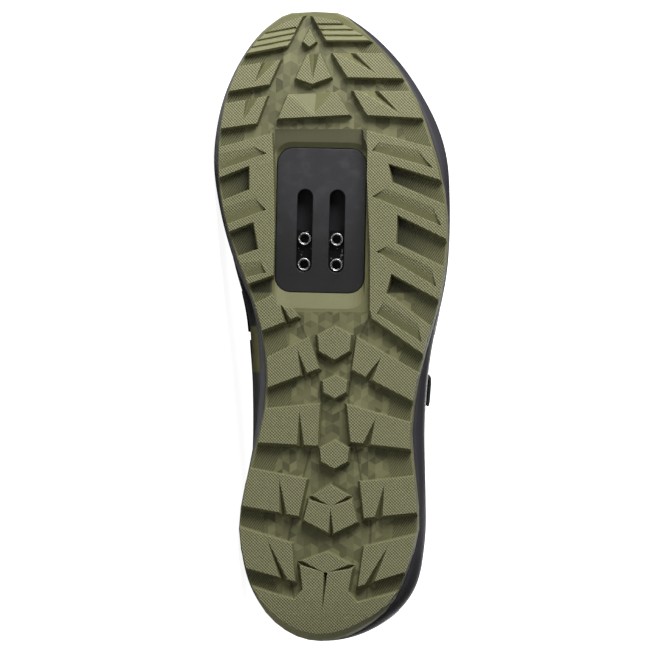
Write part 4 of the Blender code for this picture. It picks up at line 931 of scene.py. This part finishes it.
def onCircle(centre, degrees, radius, rise=0.0):
    a = math.radians(degrees)
    return centre + Vector((math.cos(a) * radius, math.sin(a) * radius, rise))


def makeThreads():
    collected = bmesh.new()
    for centre in collarCentres():
        rim = [onCircle(centre, 10 * i, threads["rimRadius"]) for i in range(37)]
        addTube(collected, rim, threads["rimWire"], 8)
        helix = [onCircle(centre, 18 * i, threads["radius"], threads["pitch"] * i / 20 + threads["start"])
                 for i in range(20 * threads["turns"] + 1)]
        addTube(collected, helix, threads["wire"], 8)
    finishTubes(collected, "threadRings", "brightSteel", "steel")


makeThreads()
print("thread rings made")


# Sewn seams. A row is a list of places and outward directions in the shoe's frame, from one end to the other.
# Threads lie only where a piece faces up, and the bonded heel film has none

def surfaceOf(piece):
    collected = bmesh.new()
    collected.from_mesh(piece.data)
    bmesh.ops.transform(collected, matrix=toShoe, verts=collected.verts[:])
    bmesh.ops.triangulate(collected, faces=collected.faces[:])
    tree = BVHTree.FromBMesh(collected)
    collected.free()
    return tree


# The first place that a ray meets on its way to an aim, where it is far enough from the aim

def hitTowards(tree, aim, away):
    place, normal, _, _ = tree.ray_cast(aim + away * stitch["rayStart"], -away, stitch["rayLength"])
    if place is None or (place - aim).dot(away) < stitch["leastReach"]:
        return None
    return place, normal if normal.dot(away) > 0.0 else -normal


# Cuts a row into stitches, each one a short arc that starts and ends in the cloth

def sewRow(built, row):
    pieces = []
    walked = 0.0
    nextStart = stitch["pitch"] / 2
    current = []
    for (first, normal), (second, _) in zip(row[:-1], row[1:]):
        run = (second - first).length
        steps = max(1, int(run / stitch["step"]))
        for i in range(steps):
            at = walked + run * i / steps
            if at >= nextStart + stitch["pitch"]:
                nextStart += stitch["pitch"]
                if len(current) > 2:
                    pieces.append(current)
                current = []
            if nextStart <= at <= nextStart + stitch["length"]:
                current.append((first.lerp(second, i / steps), normal))
        walked += run
    for piece in pieces:
        (start, normal), (end, _) = piece[0], piece[-1]
        if normal.z < stitch["leastUp"]:
            continue
        middle = piece[len(piece) // 2][0]
        lift = normal * stitch["lift"]
        arch = lift * stitch["archSide"]
        points = [start - lift, start.lerp(middle, 0.5) + arch, middle + lift * stitch["archTop"],
                  middle.lerp(end, 0.5) + arch, end - lift]
        addTube(built, points, stitch["radius"], 6)


# Two rows on a strap, one inside each long edge, found by rays from outside towards the middle of the foot

def strapRows(strap):
    tree = surfaceOf(strap)
    along = [(toShoe @ vertex.co).y for vertex in strap.data.vertices]
    rows = [[], []]
    for degrees in range(-40, 221, 3):
        a = math.radians(degrees)
        away = Vector((math.cos(a), 0.0, math.sin(a)))
        hits = []
        y = min(along)
        while y <= max(along):
            hit = hitTowards(tree, Vector((0.0, y, foot["height"])), away)
            if hit:
                hits.append((y, hit))
            y += stitch["raySpacing"]
        if len(hits) < stitch["leastHits"]:
            continue
        for row, y in ((rows[0], hits[0][0] + stitch["inset"]), (rows[1], hits[-1][0] - stitch["inset"])):
            row.append(min(hits, key=lambda item: abs(item[0] - y))[1])
    return rows


# One row under the upper edge of the toe guard, found by rays that rise round the end of the shoe

def guardRow(guard):
    tree = surfaceOf(guard)
    centre = Vector(foot["toeMiddle"])

    def hitAt(turn, rise):
        flat = math.cos(rise)
        away = Vector((math.cos(turn) * flat, math.sin(turn) * flat, math.sin(rise)))
        return hitTowards(tree, centre, away)

    row = []
    for degrees in range(8, 173, 3):
        turn = math.radians(degrees)
        rises = [rise for rise in range(-10, 88) if hitAt(turn, math.radians(rise))]
        if not rises:
            continue
        hit = hitAt(turn, math.radians(rises[-1]) - stitch["inset"] / foot["toeReach"])
        if hit:
            row.append(hit)
    return row


def sewSeams():
    built = bmesh.new()
    for name in ("strapFront", "strapMiddle", "strapInstep"):
        for row in strapRows(bpy.data.objects[name]):
            sewRow(built, row)
    sewRow(built, guardRow(bpy.data.objects["toeGuard"]))
    print("seam faces:", len(built.faces))
    finishTubes(built, "sewnSeams", "thread", None)


sewSeams()


# Floor, light and camera. The camera sees the floor nearly white, and the shoe gets less light from it

def makeFloor():
    bpy.ops.mesh.primitive_plane_add(size=12.0, location=(0.0, 0.0, 0.0))
    floor = bpy.context.active_object
    floor.name = "studioFloor"
    made, tree, shader = newMaterial("paleFloor")
    seen = put(tree, "ShaderNodeLightPath").outputs["Is Camera Ray"]
    pale = blendColour(tree, seen, (0.70, 0.70, 0.70, 1), (0.90, 0.90, 0.90, 1))
    wire(tree, shader, colour=pale, rough=0.9, specular=0.1)
    shader.inputs["Emission Color"].default_value = (1, 1, 1, 1)
    place = put(tree, "ShaderNodeTexCoord").outputs["Object"]
    away = put(tree, "ShaderNodeVectorMath", {0: place}, operation="LENGTH").outputs["Value"]
    # Painted light: the floor glows for camera rays only, a little less near the shoe so that a faint shadow
    # stays
    glow = calc(tree, "MULTIPLY_ADD", fade(tree, away, 0.12, 0.50), 0.08, 0.92)
    tree.links.new(calc(tree, "MULTIPLY", seen, glow), shader.inputs["Emission Strength"])
    floor.data.materials.append(made)


def makeLight(name, place, aim, size, power):
    light = bpy.data.lights.new(name, "AREA")
    light.shape = "DISK"
    light.size = size
    light.energy = power
    obj = bpy.data.objects.new(name, light)
    bpy.context.scene.collection.objects.link(obj)
    obj.location = place
    obj.rotation_euler = (Vector(aim) - Vector(place)).to_track_quat("-Z", "Y").to_euler()


def makeWorld():
    world = bpy.data.worlds.new("studio")
    world.use_nodes = True
    tree = world.node_tree
    tree.nodes.clear()
    seen = put(tree, "ShaderNodeLightPath").outputs["Is Camera Ray"]
    soft = put(tree, "ShaderNodeBackground", {"Color": (1, 1, 1, 1), "Strength": 0.075})
    white = put(tree, "ShaderNodeBackground", {"Color": (1, 1, 1, 1), "Strength": 1.0})
    mixed = put(tree, "ShaderNodeMixShader", {0: seen, 1: soft.outputs[0], 2: white.outputs[0]})
    put(tree, "ShaderNodeOutputWorld", {"Surface": mixed.outputs[0]})
    bpy.context.scene.world = world


def makeCamera():
    aside = camera["aside"]
    away = Vector((-math.sin(aside), 0.0, -math.cos(aside)))
    target = toWorld @ camera["target"]
    direction = (toWorld.to_3x3() @ away).normalized()
    toe = toWorld.to_3x3() @ Vector((0.0, 1.0, 0.0))
    up = (toe - direction * toe.dot(direction)).normalized()
    right = up.cross(direction)
    data = bpy.data.cameras.new("photoCamera")
    data.sensor_width = 36.0
    data.lens = data.sensor_width * camera["distance"] / camera["width"]
    data.clip_end = 50.0
    obj = bpy.data.objects.new("photoCamera", data)
    bpy.context.scene.collection.objects.link(obj)
    turn = Matrix((right, up, direction)).transposed().to_4x4()
    obj.matrix_world = Matrix.Translation(target + direction * camera["distance"]) @ turn
    bpy.context.scene.camera = obj
    print("camera elevation:", round(math.degrees(math.asin(direction.z)), 2))


makeFloor()
makeLight("toeSideKey", (-0.96, -0.74, 0.50), (0.0, -0.05, 0.05), 0.72, 22.5)
makeLight("frontFill", (0.20, -1.70, 0.70), (0.0, -0.05, 0.05), 1.00, 1.0)
makeLight("backFill", (0.60, 1.80, 0.60), (0.0, 0.0, 0.05), 1.00, 12.0)
makeWorld()
makeCamera()
bpy.context.scene.view_settings.view_transform = "Standard"
bpy.context.scene.view_settings.look = "None"
print("stage made")
